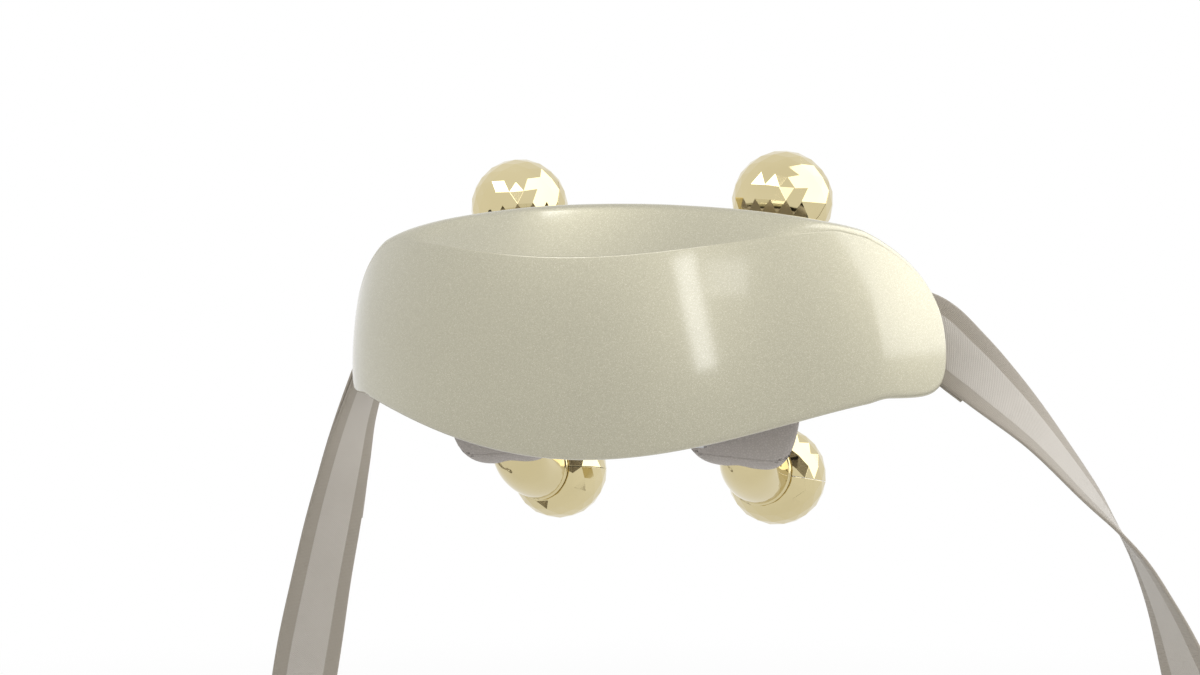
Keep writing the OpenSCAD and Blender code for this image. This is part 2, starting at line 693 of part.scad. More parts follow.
module arm_cover(side) {
  arm_place(side) difference() {
    pod(0);
    intersection() {
      pod(cover_wall);
      slab([-40, 40], [-60, 0], [pod_ends[0] - cover_low, cover_high - pod_ends[1]]);
    }
    slab([-40, 40], [-60, cover_back_y + plate_split], [-70, 70]);
    horn(false, 0.35);
    horn(true, 0.35);
  }
}
module left_arm_cover() { color("#b4aca2") arm_cover(-1); }
module right_arm_cover() { color("#b4aca2") arm_cover(1); }

module arm_back(side) {
  arm_place(side) difference() {
    intersection() {
      pod(0);
      slab([-40, 40], [-60, cover_back_y + plate_split - 0.15], [-70, 70]);
    }
    y_rod(hub_d + 0.6, -60, 0);
  }
}
module left_arm_back() { color("#a39b91") arm_back(-1); }
module right_arm_back() { color("#a39b91") arm_back(1); }

// Elbows: a round horn that leaves the pod and turns towards the ball. Each strand along
// its skin is a curve of its own: short on the inner side of the bend, long on the outer.
horn_sides = 20;
horn_steps = 10;
horn_handles = [[3, 3, 7, 7], [4, 4, 11, 13]];
function bezier(p, t) = let (u = 1 - t)
  u * u * u * p[0] + 3 * u * u * t * p[1] + 3 * u * t * t * p[2] + t * t * t * p[3];
function horn_strand(upper, angle, grow) = let (
    dir = upper ? 1 : -1,
    a = ball_aim(upper),
    ahead = [sin(a[0]), cos(a[0]), 0],
    side = dir * [-cos(a[0]), sin(a[0]), 0],
    turned = dir * (sin(a[1]) * ahead - cos(a[1]) * [0, 0, 1]),
    hold = horn_handles[upper ? 0 : 1],
    out = (1 - cos(angle)) / 2,
    root = [0, stub_y, upper ? upper_stub_z : lower_stub_z]
      + (elbow_d / 2 + grow) * (cos(angle) * ahead + sin(angle) * side),
    tip = ring_back(upper) + (ring_d / 2 - 0.6 + grow) * (cos(angle) * turned + sin(angle) * side))
  [root, root + [0, 0, dir * mix(hold[0], hold[2], out)], tip - mix(hold[1], hold[3], out) * aim(a), tip];

module horn(upper, grow) {
  m = horn_sides;
  strands = [for (i = [0 : m - 1]) horn_strand(upper, 360 * i / m, grow)];
  side = [for (k = [0 : horn_steps - 1]) for (i = [0 : m - 1])
    let (a = k * m + i, b = k * m + (i + 1) % m) each [[a, b + m, b], [a, a + m, b + m]]];
  polyhedron([for (k = [0 : horn_steps]) for (p = strands) bezier(p, k / horn_steps)],
    concat([[for (i = [0 : m - 1]) i]], side, [[for (i = [m - 1 : -1 : 0]) horn_steps * m + i]]));
}

spindle_seat = 9;

module elbow(side, upper) {
  difference() {
    union() {
      arm_place(side) {
        horn(upper, 0);
        if (upper) translate([0, stub_y, upper_stub_z - stub_len]) cylinder(d = stub_d, h = stub_len + 1);
        else translate([0, stub_y, lower_stub_z - 1]) cylinder(d = stub_d, h = stub_len + 1);
      }
      ball_place(side, upper) translate([0, 0, -ball_cut - ball_gap - ring_thick])
        cylinder(d = ring_d, h = ring_thick);
    }
    ball_place(side, upper) translate([0, 0, -ball_cut - ball_gap - spindle_seat])
      cylinder(d = spindle_d + 2 * fit, h = 20);
  }
}
module left_upper_elbow() { color("#c9a85c") elbow(-1, true); }
module right_upper_elbow() { color("#c9a85c") elbow(1, true); }
module left_lower_elbow() { color("#c9a85c") elbow(-1, false); }
module right_lower_elbow() { color("#c9a85c") elbow(1, false); }

bush_reach = 3.4;
spindle_head = 1.6;
ball_bush_d = 8;
pocket_d = ball_bush_d + 3.4;

module spindle(side, upper) {
  ball_place(side, upper) {
    translate([0, 0, -ball_cut - ball_gap - spindle_seat + 0.1])
      cylinder(d = spindle_d, h = ball_cut + ball_gap + spindle_seat - 0.1 + bush_reach + 0.2 + eps);
    translate([0, 0, bush_reach + 0.2]) cylinder(d = ball_bush_d + 1.6, h = spindle_head);
  }
}
module left_upper_spindle() { color("#d0d3d6") spindle(-1, true); }
module right_upper_spindle() { color("#d0d3d6") spindle(1, true); }
module left_lower_spindle() { color("#d0d3d6") spindle(-1, false); }
module right_lower_spindle() { color("#d0d3d6") spindle(1, false); }

// Balls: a sphere of 320 flat facets, from an icosahedron with each edge cut in four
golden = (1 + sqrt(5)) / 2;
ico_points = [[-1, golden, 0], [1, golden, 0], [-1, -golden, 0], [1, -golden, 0],
  [0, -1, golden], [0, 1, golden], [0, -1, -golden], [0, 1, -golden],
  [golden, 0, -1], [golden, 0, 1], [-golden, 0, -1], [-golden, 0, 1]];
ico_faces = [[0, 11, 5], [0, 5, 1], [0, 1, 7], [0, 7, 10], [0, 10, 11],
  [1, 5, 9], [5, 11, 4], [11, 10, 2], [10, 7, 6], [7, 1, 8],
  [3, 9, 4], [3, 4, 2], [3, 2, 6], [3, 6, 8], [3, 8, 9],
  [4, 9, 5], [2, 4, 11], [6, 2, 10], [8, 6, 7], [9, 8, 1]];
facet_cuts = 4;
function ico_spot(f, i, j) = let (n = facet_cuts,
    v = unit(ico_points[f[0]] * (n - i - j) + ico_points[f[1]] * i + ico_points[f[2]] * j))
  [for (c = v) round(c * ball_r * 10000) / 10000];

module facet_ball() {
  tri = [for (f = ico_faces) for (i = [0 : facet_cuts - 1]) for (j = [0 : facet_cuts - 1 - i])
    each concat([[ico_spot(f, i, j), ico_spot(f, i + 1, j), ico_spot(f, i, j + 1)]],
      i + j < facet_cuts - 1
        ? [[ico_spot(f, i + 1, j), ico_spot(f, i + 1, j + 1), ico_spot(f, i, j + 1)]] : [])];
  polyhedron([for (t = tri) each t], [for (k = [0 : len(tri) - 1]) [3 * k + 2, 3 * k + 1, 3 * k]]);
}

module ball_half(side, upper, part) {
  ball_place(side, upper) difference() {
    intersection() {
      facet_ball();
      translate([0, part * (25 + 0.03), 0]) cube([50, 50, 50], center = true);
      translate([0, 0, 30 - ball_cut]) cube([60, 60, 60], center = true);
    }
    difference() {
      sphere(d = ball_d - 2 * ball_wall);
      translate([0, 0, -ball_r]) cylinder(d = ball_bush_d + 6, h = ball_d);
      translate([0, 0, -ball_r]) cylinder(d = ball_d, h = ball_r - ball_cut + ball_wall);
    }
    translate([0, 0, -ball_r]) cylinder(d = ball_bush_d + 2 * fit, h = ball_r + bush_reach);
    translate([0, 0, bush_reach]) cylinder(d = pocket_d, h = spindle_head + 0.6);
  }
}
module left_upper_ball_a() { color("#d4b568") ball_half(-1, true, 1); }
module left_upper_ball_b() { color("#d4b568") ball_half(-1, true, -1); }
module right_upper_ball_a() { color("#d4b568") ball_half(1, true, 1); }
module right_upper_ball_b() { color("#d4b568") ball_half(1, true, -1); }
module left_lower_ball_a() { color("#d4b568") ball_half(-1, false, 1); }
module left_lower_ball_b() { color("#d4b568") ball_half(-1, false, -1); }
module right_lower_ball_a() { color("#d4b568") ball_half(1, false, 1); }
module right_lower_ball_b() { color("#d4b568") ball_half(1, false, -1); }

module ball_bush(side, upper) {
  ball_place(side, upper) translate([0, 0, -ball_cut - 0.2])
    tube(ball_bush_d, spindle_d + 2 * fit, ball_cut + 0.2 + bush_reach);
}
module left_upper_bush() { color("#b98a4a") ball_bush(-1, true); }
module right_upper_bush() { color("#b98a4a") ball_bush(1, true); }
module left_lower_bush() { color("#b98a4a") ball_bush(-1, false); }
module right_lower_bush() { color("#b98a4a") ball_bush(1, false); }

// Straps: each hangs from a steel bar behind its wing
bar_angle = 55;
bar_off = 5;
bar_z = 3;
lug_thick = 2.5;
lug_room = strap_w + 1;

function bar_at(side) = face_at(side * bar_angle, body_depth(bar_angle), bar_z)
  + bar_off * [-sin(side * bar_angle), cos(bar_angle), 0];

module on_wing_back(side) {
  translate(face_at(side * bar_angle, body_depth(bar_angle), bar_z))
    rotate([0, 0, side * bar_angle]) children();
}

module strap_bracket(side) {
  on_wing_back(side) difference() {
    union() {
      slab([-5, 5], [0.25, 1.3], [-lug_room / 2 - lug_thick, lug_room / 2 + lug_thick]);
      for (s = [-1, 1]) translate([0, 0, s * (lug_room + lug_thick) / 2 - lug_thick / 2]) {
        translate([0, bar_off, 0]) cylinder(d = bar_d + 3.6, h = lug_thick);
        slab([-bar_d / 2 - 1.8, bar_d / 2 + 1.8], [0.25, bar_off], [0, lug_thick]);
      }
    }
    translate([0, bar_off, -30]) cylinder(d = bar_d + 2 * fit, h = 60);
  }
}
module left_strap_bracket() { color("#8f877d") strap_bracket(-1); }
module right_strap_bracket() { color("#8f877d") strap_bracket(1); }

module strap_bar(side) {
  on_wing_back(side) translate([0, bar_off, -lug_room / 2 - lug_thick + 0.3])
    cylinder(d = bar_d, h = lug_room + 2 * lug_thick - 0.6);
}
module left_strap_bar() { color("#c9ccd0") strap_bar(-1); }
module right_strap_bar() { color("#c9ccd0") strap_bar(1); }

// Middle line of each strap from its bar, chosen by hand, and its twist at each point in
// degrees. The twist is 0 where the band's broad side faces away from the neck, along strap_faces.
strap_faces = [-sin(22), cos(22), 0];
left_route = [[2.7, 2.2, 0], [-2.6, 8, 0], [-9, 12.5, -1.2], [-17, 15.5, -8], [-25, 16, -20],
  [-31.4, 15.5, -37], [-36.6, 15, -57], [-43, 15, -83], [-50, 15, -114], [-57, 15, -150],
  [-62, 15, -183], [-64, 15, -208]];
left_twist = [0, 0, 25, 60, 66, 62, 50, 38, 28, 5, -14, -22];
right_route = [[-2.4, 1.8, 0], [2.6, 8, 1], [8.8, 11.5, 1.6], [15.5, 14, -2], [25, 14.5, -10.6],
  [36, 15, -20.6], [55.7, 15, -39.8], [73.8, 15.5, -61], [84.4, 17, -74.7], [93.3, 18, -88],
  [100.4, 19, -102.8], [106.3, 20, -118], [115, 21, -145], [121, 22, -175], [124, 22, -208]];
right_twist = [0, 0, 2, 6, 16, 30, 53, 67, 80, 90, 99, 110, 130, 149, 158];
strap_scale = strap_drop / -left_route[len(left_route) - 1].z;

// The hand loop hangs below the last point, in the plane of Y and Z
loop_path = [[0, 5, -15], [0, 12, -30], [0, 17, -50], [0, 15, -76], [0, 0, -95],
  [0, -15, -76], [0, -17, -50], [0, -12, -30], [0, -6, -15], [0, -2.6, -2]];

// Points between the chosen ones, on a smooth curve through them
between = 3;
function curve(a, b, c, d, t) = 0.5 * (2 * b + (c - a) * t + (2 * a - 5 * b + 4 * c - d) * t * t
  + (3 * b - a - 3 * c + d) * t * t * t);
function smooth_path(p) = let (n = len(p)) concat(
  [for (i = [0 : n - 2]) for (k = [0 : between - 1])
    curve(p[max(0, i - 1)], p[i], p[i + 1], p[min(n - 1, i + 2)], k / between)], [p[n - 1]]);

function way_at(path, i) = unit(path[min(len(path) - 1, i + 1)] - path[max(0, i - 1)]);
function twisted(path, i, turn) = let (w = way_at(path, i), across = unit(cross(w, strap_faces)))
  unit(cos(turn) * across + sin(turn) * cross(across, w));

// A flat band along a path: its width at each point lies along the vector of the same place
module webbing(path, width) {
  n = len(path);
  hw = strap_w / 2;
  ht = strap_thick / 2;
  rings = [for (i = [0 : n - 1]) let (
      way = way_at(path, i),
      w = unit(width[i] - way * (width[i] * way)),
      t = cross(way, w))
    [for (c = [[-1, -1], [1, -1], [1, 1], [-1, 1]]) path[i] + c[0] * hw * w + c[1] * ht * t]];
  side = [for (k = [0 : n - 2]) for (i = [0 : 3]) let (a = k * 4 + i, b = k * 4 + (i + 1) % 4)
    each [[a, b + 4, b], [a, a + 4, b + 4]]];
  polyhedron([for (r = rings) each r], concat([[0, 1, 2, 3]], side,
    [[4 * n - 1, 4 * n - 2, 4 * n - 3, 4 * n - 4]]));
}

// The whole band: the free stretch keeps its own twist and the hand loop that of its last point
module strap_band(side, route, twist) {
  free = [for (p = smooth_path(route)) bar_at(side) + strap_scale * p];
  turns = smooth_path(twist);
  n = len(free);
  tail = free[n - 1];
  loop = smooth_path(concat([tail], [for (p = loop_path) tail + strap_scale * p]));
  last = twisted(free, n - 1, turns[n - 1]);
  webbing(concat(free, [for (k = [1 : len(loop) - 1]) loop[k]]),
    concat([for (i = [0 : n - 1]) twisted(free, i, turns[i])], [for (k = [1 : len(loop) - 1]) last]));
}

// The end that wraps the bar
module bar_wrap(side) {
  on_wing_back(side) translate([0, bar_off, -strap_w / 2])
    tube(bar_d + 0.6 + 2 * strap_thick, bar_d + 0.6, strap_w);
}

module left_strap() {
  color("#a89f93") union() {
    bar_wrap(-1);
    strap_band(-1, left_route, left_twist);
  }
}
module right_strap() {
  color("#a89f93") union() {
    bar_wrap(1);
    strap_band(1, right_route, right_twist);
  }
}

outer_shell();
rear_housing();
neck_pad();
heating_film();
drive_frame();
pivot_pins();
pivot_caps();
motor();
motor_worm();
battery_pack();
main_board();
charge_socket();
buzzer();
button_board();
button_panel();
power_button();
mode_button();
heat_button();
status_light();
left_strap();
right_strap();
left_strap_bar();
right_strap_bar();
left_strap_bracket();
right_strap_bracket();
casing_screws();
frame_screws();
screw_plugs();
left_arm_frame();
right_arm_frame();
left_sector_gear();
right_sector_gear();
worm_wheel();
left_arm_cover();
right_arm_cover();
left_arm_back();
right_arm_back();
left_upper_elbow();
right_upper_elbow();
left_lower_elbow();
right_lower_elbow();
left_upper_spindle();
right_upper_spindle();
left_lower_spindle();
right_lower_spindle();
left_arm_bushes();
right_arm_bushes();
left_upper_ball_a();
left_upper_ball_b();
left_upper_bush();
right_upper_ball_a();
right_upper_ball_b();
right_upper_bush();
left_lower_ball_a();
left_lower_ball_b();
left_lower_bush();
right_lower_ball_a();
right_lower_ball_b();
right_lower_bush();
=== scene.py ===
import json
import math

import bmesh
import bpy
import numpy as np
from mathutils import Matrix, Vector


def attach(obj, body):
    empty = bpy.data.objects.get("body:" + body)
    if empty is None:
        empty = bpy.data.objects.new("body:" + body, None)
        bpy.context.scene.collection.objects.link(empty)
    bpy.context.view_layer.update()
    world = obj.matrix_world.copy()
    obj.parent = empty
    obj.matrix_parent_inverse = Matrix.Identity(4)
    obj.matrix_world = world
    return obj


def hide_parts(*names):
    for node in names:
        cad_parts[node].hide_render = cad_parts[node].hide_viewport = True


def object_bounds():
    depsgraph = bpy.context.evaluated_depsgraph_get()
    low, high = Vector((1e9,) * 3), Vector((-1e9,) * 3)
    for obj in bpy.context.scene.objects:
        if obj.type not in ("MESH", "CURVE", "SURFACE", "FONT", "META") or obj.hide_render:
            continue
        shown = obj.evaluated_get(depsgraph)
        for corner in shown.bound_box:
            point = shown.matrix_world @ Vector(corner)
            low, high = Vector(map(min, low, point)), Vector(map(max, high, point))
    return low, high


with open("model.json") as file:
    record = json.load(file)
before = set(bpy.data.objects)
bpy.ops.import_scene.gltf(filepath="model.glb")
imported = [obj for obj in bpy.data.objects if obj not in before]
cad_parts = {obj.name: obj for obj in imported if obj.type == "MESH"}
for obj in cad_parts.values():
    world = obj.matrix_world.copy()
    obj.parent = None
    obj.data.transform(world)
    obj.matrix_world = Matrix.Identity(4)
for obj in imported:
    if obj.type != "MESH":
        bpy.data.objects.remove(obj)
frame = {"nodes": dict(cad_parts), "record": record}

# Lengths below are in millimetres unless a name says otherwise, as in the part's source
MM = 0.001
CAD_BOX = [list(map(float, corner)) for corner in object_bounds()]
SLOT_OF = {s["node"]: s["material_slot"] for s in frame["record"]["subparts"]}


# Camera, from the perspective fitted to the four balls
FOCAL_PX = 2270
IMAGE_W = 1200
YAW = math.radians(22)
CAMERA_AT = (0.3296, -0.8682, 0.0)


def add_camera():
    data = bpy.data.cameras.new("camera")
    data.sensor_width = 36
    data.lens = FOCAL_PX / IMAGE_W * data.sensor_width
    camera = bpy.data.objects.new("camera", data)
    camera.location = CAMERA_AT
    camera.rotation_euler = (math.pi / 2, 0, YAW)
    bpy.context.scene.collection.objects.link(camera)
    bpy.context.scene.camera = camera


add_camera()


# Casing outline, as in the part's source
FRONT_REACH = 81.6
FACE_R = 165.0
WING_R = 90.0
TOP_H = 51.2
BOTTOM_D = 46.3
WING_BOTTOM_D = 23.0
CREASE_H = 30.3
SCOOP_D = 12.5
REAR_REACH = 38.0
WING_DEPTH = 17.0
TRAY_RIM = 6.0
BEND = 40.0
END = 62.9
END_H = -5.0
FACE_C = FACE_R - FRONT_REACH
BEND_C = ((FACE_R - WING_R) * math.sin(math.radians(BEND)),
          FACE_C - (FACE_R - WING_R) * math.cos(math.radians(BEND)))


def sin_d(a):
    return math.sin(math.radians(a))


def cos_d(a):
    return math.cos(math.radians(a))


def smooth(t):
    t = min(1, max(0, t))
    return t * t * (3 - 2 * t)


def mix(a, b, t):
    return a + (b - a) * t


def face_at(angle, depth, z):
    far = abs(angle) > BEND
    r = WING_R if far else FACE_R
    cx = math.copysign(BEND_C[0], angle) if far else 0
    cy = BEND_C[1] if far else FACE_C
    return (cx + (r - depth) * sin_d(angle), cy - (r - depth) * cos_d(angle), z)


def arc_length(angle):
    a = abs(angle)
    run = FACE_R * math.radians(min(a, BEND)) + WING_R * math.radians(max(0, a - BEND))
    return math.copysign(run, angle)


def top_z(angle):
    share = abs(angle) / END
    return END_H + (TOP_H - END_H) * max(0, 1 - share ** 2.2) ** (1 / 2.3)


def low_z(angle):
    belly = 0 if abs(angle) > 45 else ((1 + cos_d(4 * angle)) / 2) ** 0.72
    share = abs(angle) / END
    drop = WING_BOTTOM_D + END_H + (BOTTOM_D - WING_BOTTOM_D) * belly
    return END_H - drop * max(0, 1 - share ** 20) ** (1 / 2.3)


def crease_z(angle):
    rise = 10.2 if abs(angle) > 42 else 5.1 * (1 - cos_d(180 * angle / 42))
    top, low = top_z(angle), low_z(angle)
    return min(CREASE_H + rise, max(top - 3.4, mix(low, top, 0.65)))


def face_depth(z):
    return (z + 12) ** 2 / 360


def body_depth(angle):
    flat = 0 if abs(angle) > BEND else max(0, (-REAR_REACH - face_at(angle, 0, 0)[1]) / cos_d(angle))
    reach = 7
    if flat >= WING_DEPTH + reach:
        return flat
    if flat <= WING_DEPTH - reach:
        return WING_DEPTH
    return WING_DEPTH + (flat - WING_DEPTH + reach) ** 2 / (4 * reach)


# Mesh helpers

def make_piece(name, verts, faces, body, material, replaces=(), smooth_shade=True, scale=MM):
    mesh = bpy.data.meshes.new(name)
    mesh.from_pydata([tuple(c * scale for c in v) for v in verts], [], faces)
    mesh.validate()
    bm = bmesh.new()
    bm.from_mesh(mesh)
    bmesh.ops.remove_doubles(bm, verts=bm.verts, dist=1e-7)
    bmesh.ops.recalc_face_normals(bm, faces=bm.faces)
    bm.to_mesh(mesh)
    bm.free()
    return register(name, mesh, body, material, replaces, smooth_shade)


def register(name, mesh, body, material, replaces=(), smooth_shade=True):
    piece = bpy.data.objects.new(name, mesh)
    bpy.context.scene.collection.objects.link(piece)
    mesh.materials.append(material)
    for polygon in mesh.polygons:
        polygon.use_smooth = smooth_shade
    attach(piece, body)
    if replaces:
        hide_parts(*replaces)
    return piece


def grid_faces(rows, columns, close_rows=False, start=0):
    faces = []
    for i in range(rows if close_rows else rows - 1):
        a, b = start + i * columns, start + ((i + 1) % rows) * columns
        for j in range(columns - 1):
            faces.append((a + j, a + j + 1, b + j + 1, b + j))
    return faces


def loft(rings, cap_start=True, cap_end=True):
    """Faces over a list of rings of equal size."""
    m = len(rings[0])
    verts = [p for ring in rings for p in ring]
    faces = []
    for k in range(len(rings) - 1):
        for i in range(m):
            a, b = k * m + i, k * m + (i + 1) % m
            faces.append((a, b, b + m, a + m))
    if cap_start:
        faces.append(tuple(range(m)))
    if cap_end:
        faces.append(tuple((len(rings) - 1) * m + i for i in range(m)))
    return verts, faces


def merge(parts):
    verts, faces = [], []
    for v, f in parts:
        start = len(verts)
        verts += list(v)
        faces += [tuple(i + start for i in face) for face in f]
    return verts, faces


def apply_modifier(piece, kind, **settings):
    modifier = piece.modifiers.new("m", kind)
    for key, value in settings.items():
        setattr(modifier, key, value)
    graph = bpy.context.evaluated_depsgraph_get()
    mesh = bpy.data.meshes.new_from_object(piece.evaluated_get(graph))
    piece.modifiers.clear()
    old = piece.data
    piece.data = mesh
    bpy.data.meshes.remove(old)


# Materials

class Look:
    """A material whose Principled shader is fed by small node chains."""

    def __init__(self, name, metallic=0.0, coat=0.0, coat_roughness=0.03, ior=1.5, sheen=0.0):
        self.material = bpy.data.materials.new(name)
        self.material.use_nodes = True
        self.nodes = self.material.node_tree.nodes
        self.links = self.material.node_tree.links
        self.shader = self.nodes["Principled BSDF"]
        self.shader.inputs["Metallic"].default_value = metallic
        self.shader.inputs["Coat Weight"].default_value = coat
        self.shader.inputs["Coat Roughness"].default_value = coat_roughness
        self.shader.inputs["IOR"].default_value = ior
        self.shader.inputs["Sheen Weight"].default_value = sheen
        self.height = None

    def node(self, kind, **inputs):
        node = self.nodes.new(kind)
        for key, value in inputs.items():
            node.inputs[key.replace("_", " ")].default_value = value
        return node

    def link(self, output, target):
        self.links.new(output, target)

    def place(self):
        return self.node("ShaderNodeTexCoord").outputs["Object"]

    def band(self):
        return self.node("ShaderNodeUVMap").outputs["UV"]

    def noise(self, scale, detail=3.0, rough=0.55, vector=None):
        node = self.node("ShaderNodeTexNoise", Scale=scale, Detail=detail, Roughness=rough)
        self.link(vector or self.place(), node.inputs["Vector"])
        return node.outputs["Fac"]

    def cells(self, scale, feature="F1", output="Distance", vector=None):
        node = self.node("ShaderNodeTexVoronoi", Scale=scale)
        node.feature = feature
        self.link(vector or self.place(), node.inputs["Vector"])
        return node.outputs[output]

    def math(self, operation, a, b=None):
        node = self.nodes.new("ShaderNodeMath")
        node.operation = operation
        for i, value in enumerate((a, b)):
            if value is None:
                continue
            if isinstance(value, (int, float)):
                node.inputs[i].default_value = value
            else:
                self.link(value, node.inputs[i])
        return node.outputs[0]

    def ramp(self, fac, stops):
        node = self.nodes.new("ShaderNodeValToRGB")
        elements = node.color_ramp.elements
        while len(elements) < len(stops):
            elements.new(0.5)
        for element, (at, colour) in zip(elements, stops):
            element.position = at
            element.color = (*colour, 1)
        self.link(fac, node.inputs["Fac"])
        return node.outputs["Color"]

    def blend(self, fac, a, b):
        node = self.nodes.new("ShaderNodeMix")
        node.data_type = "RGBA"
        self.link(fac, node.inputs["Factor"])
        for value, key in ((a, 6), (b, 7)):
            if isinstance(value, tuple):
                node.inputs[key].default_value = (*value, 1)
            else:
                self.link(value, node.inputs[key])
        return node.outputs[2]

    def colour(self, output):
        self.link(output, self.shader.inputs["Base Color"])
        return self

    def roughness(self, fac, low, high):
        node = self.nodes.new("ShaderNodeMapRange")
        node.inputs["To Min"].default_value = low
        node.inputs["To Max"].default_value = high
        self.link(fac, node.inputs["Value"])
        self.link(node.outputs["Result"], self.shader.inputs["Roughness"])
        return self

    def bump(self, height, depth_mm, strength=1.0, coat=False):
        node = self.nodes.new("ShaderNodeBump")
        node.inputs["Distance"].default_value = depth_mm * MM
        node.inputs["Strength"].default_value = strength
        self.link(height, node.inputs["Height"])
        if self.height:
            self.link(self.height, node.inputs["Normal"])
        self.height = node.outputs["Normal"]
        self.link(self.height, self.shader.inputs["Normal"])
        if coat:
            self.link(self.height, self.shader.inputs["Coat Normal"])
        return self


def plain_look(name, colour, low, high, metallic=0.0, grain_mm=0.4, depth_mm=0.02, vary=0.1,
               coat=0.0, sheen=0.0):
    """Moulded or turned surface: slight colour drift, fine grain in the gloss and in the relief."""
    look = Look(name, metallic=metallic, coat=coat, sheen=sheen)
    drift = look.noise(60, 4)
    dark = tuple(c * (1 - vary) for c in colour)
    light = tuple(min(1, c * (1 + vary)) for c in colour)
    look.colour(look.ramp(drift, [(0.3, dark), (0.7, light)]))
    grain = look.noise(1000 / grain_mm, 2)
    look.roughness(look.noise(250, 4), low, high)
    look.bump(grain, depth_mm)
    return look.material


def pearl_look():
    look = Look("pearl_lacquer", metallic=0.8, coat=1.0, coat_roughness=0.12)
    look.shader.inputs["Coat IOR"].default_value = 1.8
    flake = look.cells(5200, output="Color")
    spark = look.node("ShaderNodeSeparateColor")
    look.link(flake, spark.inputs["Color"])
    tone = look.ramp(spark.outputs["Red"], [(0.0, (0.40, 0.375, 0.27)), (0.8, (0.47, 0.445, 0.32)),
                                            (1.0, (0.62, 0.59, 0.45))])
    drift = look.noise(9, 2)
    look.colour(look.blend(look.math("MULTIPLY", drift, 0.25), tone, (0.42, 0.39, 0.29)))
    look.roughness(look.noise(40, 3), 0.4, 0.47)
    look.bump(spark.outputs["Green"], 0.012, 0.35)
    return look.material


def gold_look():
    look = Look("gold_mirror", metallic=1.0)
    drift = look.noise(35, 2)
    look.colour(look.ramp(drift, [(0.3, (0.62, 0.53, 0.30)), (0.7, (0.68, 0.59, 0.35))]))
    look.roughness(look.noise(180, 4), 0.02, 0.07)
    look.bump(look.noise(300, 2), 0.006)
    return look.material


def pod_look():
    look = Look("pod_grain", sheen=0.05)
    creases = look.cells(950, "DISTANCE_TO_EDGE")
    pores = look.noise(2400, 2)
    # The crease lines of the grain are sunk by the bump and also painted darker: painted shade in the
    # creases, on top of their real relief
    line = look.ramp(creases, [(0.0, (0, 0, 0)), (0.25, (1, 1, 1))])
    tone = look.blend(line, (0.40, 0.365, 0.335), (0.50, 0.46, 0.43))
    drift = look.noise(45, 3)
    look.colour(look.blend(look.math("MULTIPLY", drift, 0.35), tone, (0.44, 0.40, 0.37)))
    look.roughness(pores, 0.42, 0.6)
    look.bump(line, 0.05)
    look.bump(pores, 0.02)
    return look.material


BAND_HALF = 14.0
PANEL_HALF = 7.8
THREAD_MM = 0.62


def webbing_look(centre, border):
    """U runs across the band from 0 to 1, V along it in metres."""
    look = Look("webbing_weave", sheen=0.35)
    split = look.node("ShaderNodeSeparateXYZ")
    look.link(look.band(), split.inputs["Vector"])
    across = look.math("ABSOLUTE", look.math("SUBTRACT", split.outputs["X"], 0.5))
    across = look.math("MULTIPLY", across, 2 * BAND_HALF)
    along = look.math("MULTIPLY", split.outputs["Y"], 1 / MM)
    in_border = look.ramp(look.math("MULTIPLY", across, 1 / BAND_HALF),
                          [(PANEL_HALF / BAND_HALF - 0.012, (0, 0, 0)),
                           (PANEL_HALF / BAND_HALF + 0.012, (1, 1, 1))])
    warp = look.math("SINE", look.math("MULTIPLY", split.outputs["X"], 4 * BAND_HALF * math.pi / THREAD_MM))
    weft = look.math("SINE", look.math("MULTIPLY", along, 2 * math.pi / THREAD_MM))
    twill = look.math("SINE", look.math("MULTIPLY", look.math("ADD", along, look.math("MULTIPLY",
                      split.outputs["X"], 2 * BAND_HALF)), 2 * math.pi / (THREAD_MM * 1.6)))
    panel_weave = look.math("ADD", look.math("MULTIPLY", twill, 0.6), look.math("MULTIPLY", warp, 0.25))
    border_weave = look.math("ADD", look.math("MULTIPLY", weft, 0.55), look.math("MULTIPLY", warp, 0.35))
    weave = look.blend(in_border, panel_weave, border_weave)
    fuzz = look.noise(2600, 3)
    drift = look.noise(55, 3)
    base = look.blend(in_border, centre, border)
    shade = look.ramp(look.math("ADD", look.math("MULTIPLY", weave, 0.3), 0.5),
                      [(0.1, (0.80, 0.79, 0.78)), (0.9, (1.0, 1.0, 1.0))])
    tint = look.nodes.new("ShaderNodeMix")
    tint.data_type = "RGBA"
    tint.blend_type = "MULTIPLY"
    tint.inputs["Factor"].default_value = 1
    look.link(base, tint.inputs[6])
    look.link(shade, tint.inputs[7])
    dark = tuple(c * 0.82 for c in border)
    look.colour(look.blend(look.math("MULTIPLY", drift, 0.3), tint.outputs[2], dark))
    look.roughness(fuzz, 0.72, 0.9)
    look.bump(weave, 0.06)
    look.bump(fuzz, 0.04)
    return look.material


def board_look():
    look = Look("solder_mask", coat=0.3)
    tracks = look.node("ShaderNodeTexBrick", Scale=260.0)
    look.link(look.place(), tracks.inputs["Vector"])
    tracks.inputs["Color1"].default_value = (0.012, 0.11, 0.04, 1)
    tracks.inputs["Color2"].default_value = (0.016, 0.14, 0.05, 1)
    tracks.inputs["Mortar"].default_value = (0.03, 0.22, 0.09, 1)
    look.colour(tracks.outputs["Color"])
    look.roughness(look.noise(300), 0.3, 0.45)
    look.bump(tracks.outputs["Fac"], 0.03)
    return look.material


def heater_look():
    look = Look("heater_film", coat=0.2)
    wave = look.node("ShaderNodeTexWave", Scale=90.0)
    look.link(look.place(), wave.inputs["Vector"])
    look.colour(look.ramp(wave.outputs["Fac"], [(0.45, (0.55, 0.26, 0.05)), (0.55, (0.72, 0.36, 0.16))]))
    look.roughness(look.noise(200), 0.25, 0.4)
    look.bump(wave.outputs["Fac"], 0.03)
    return look.material


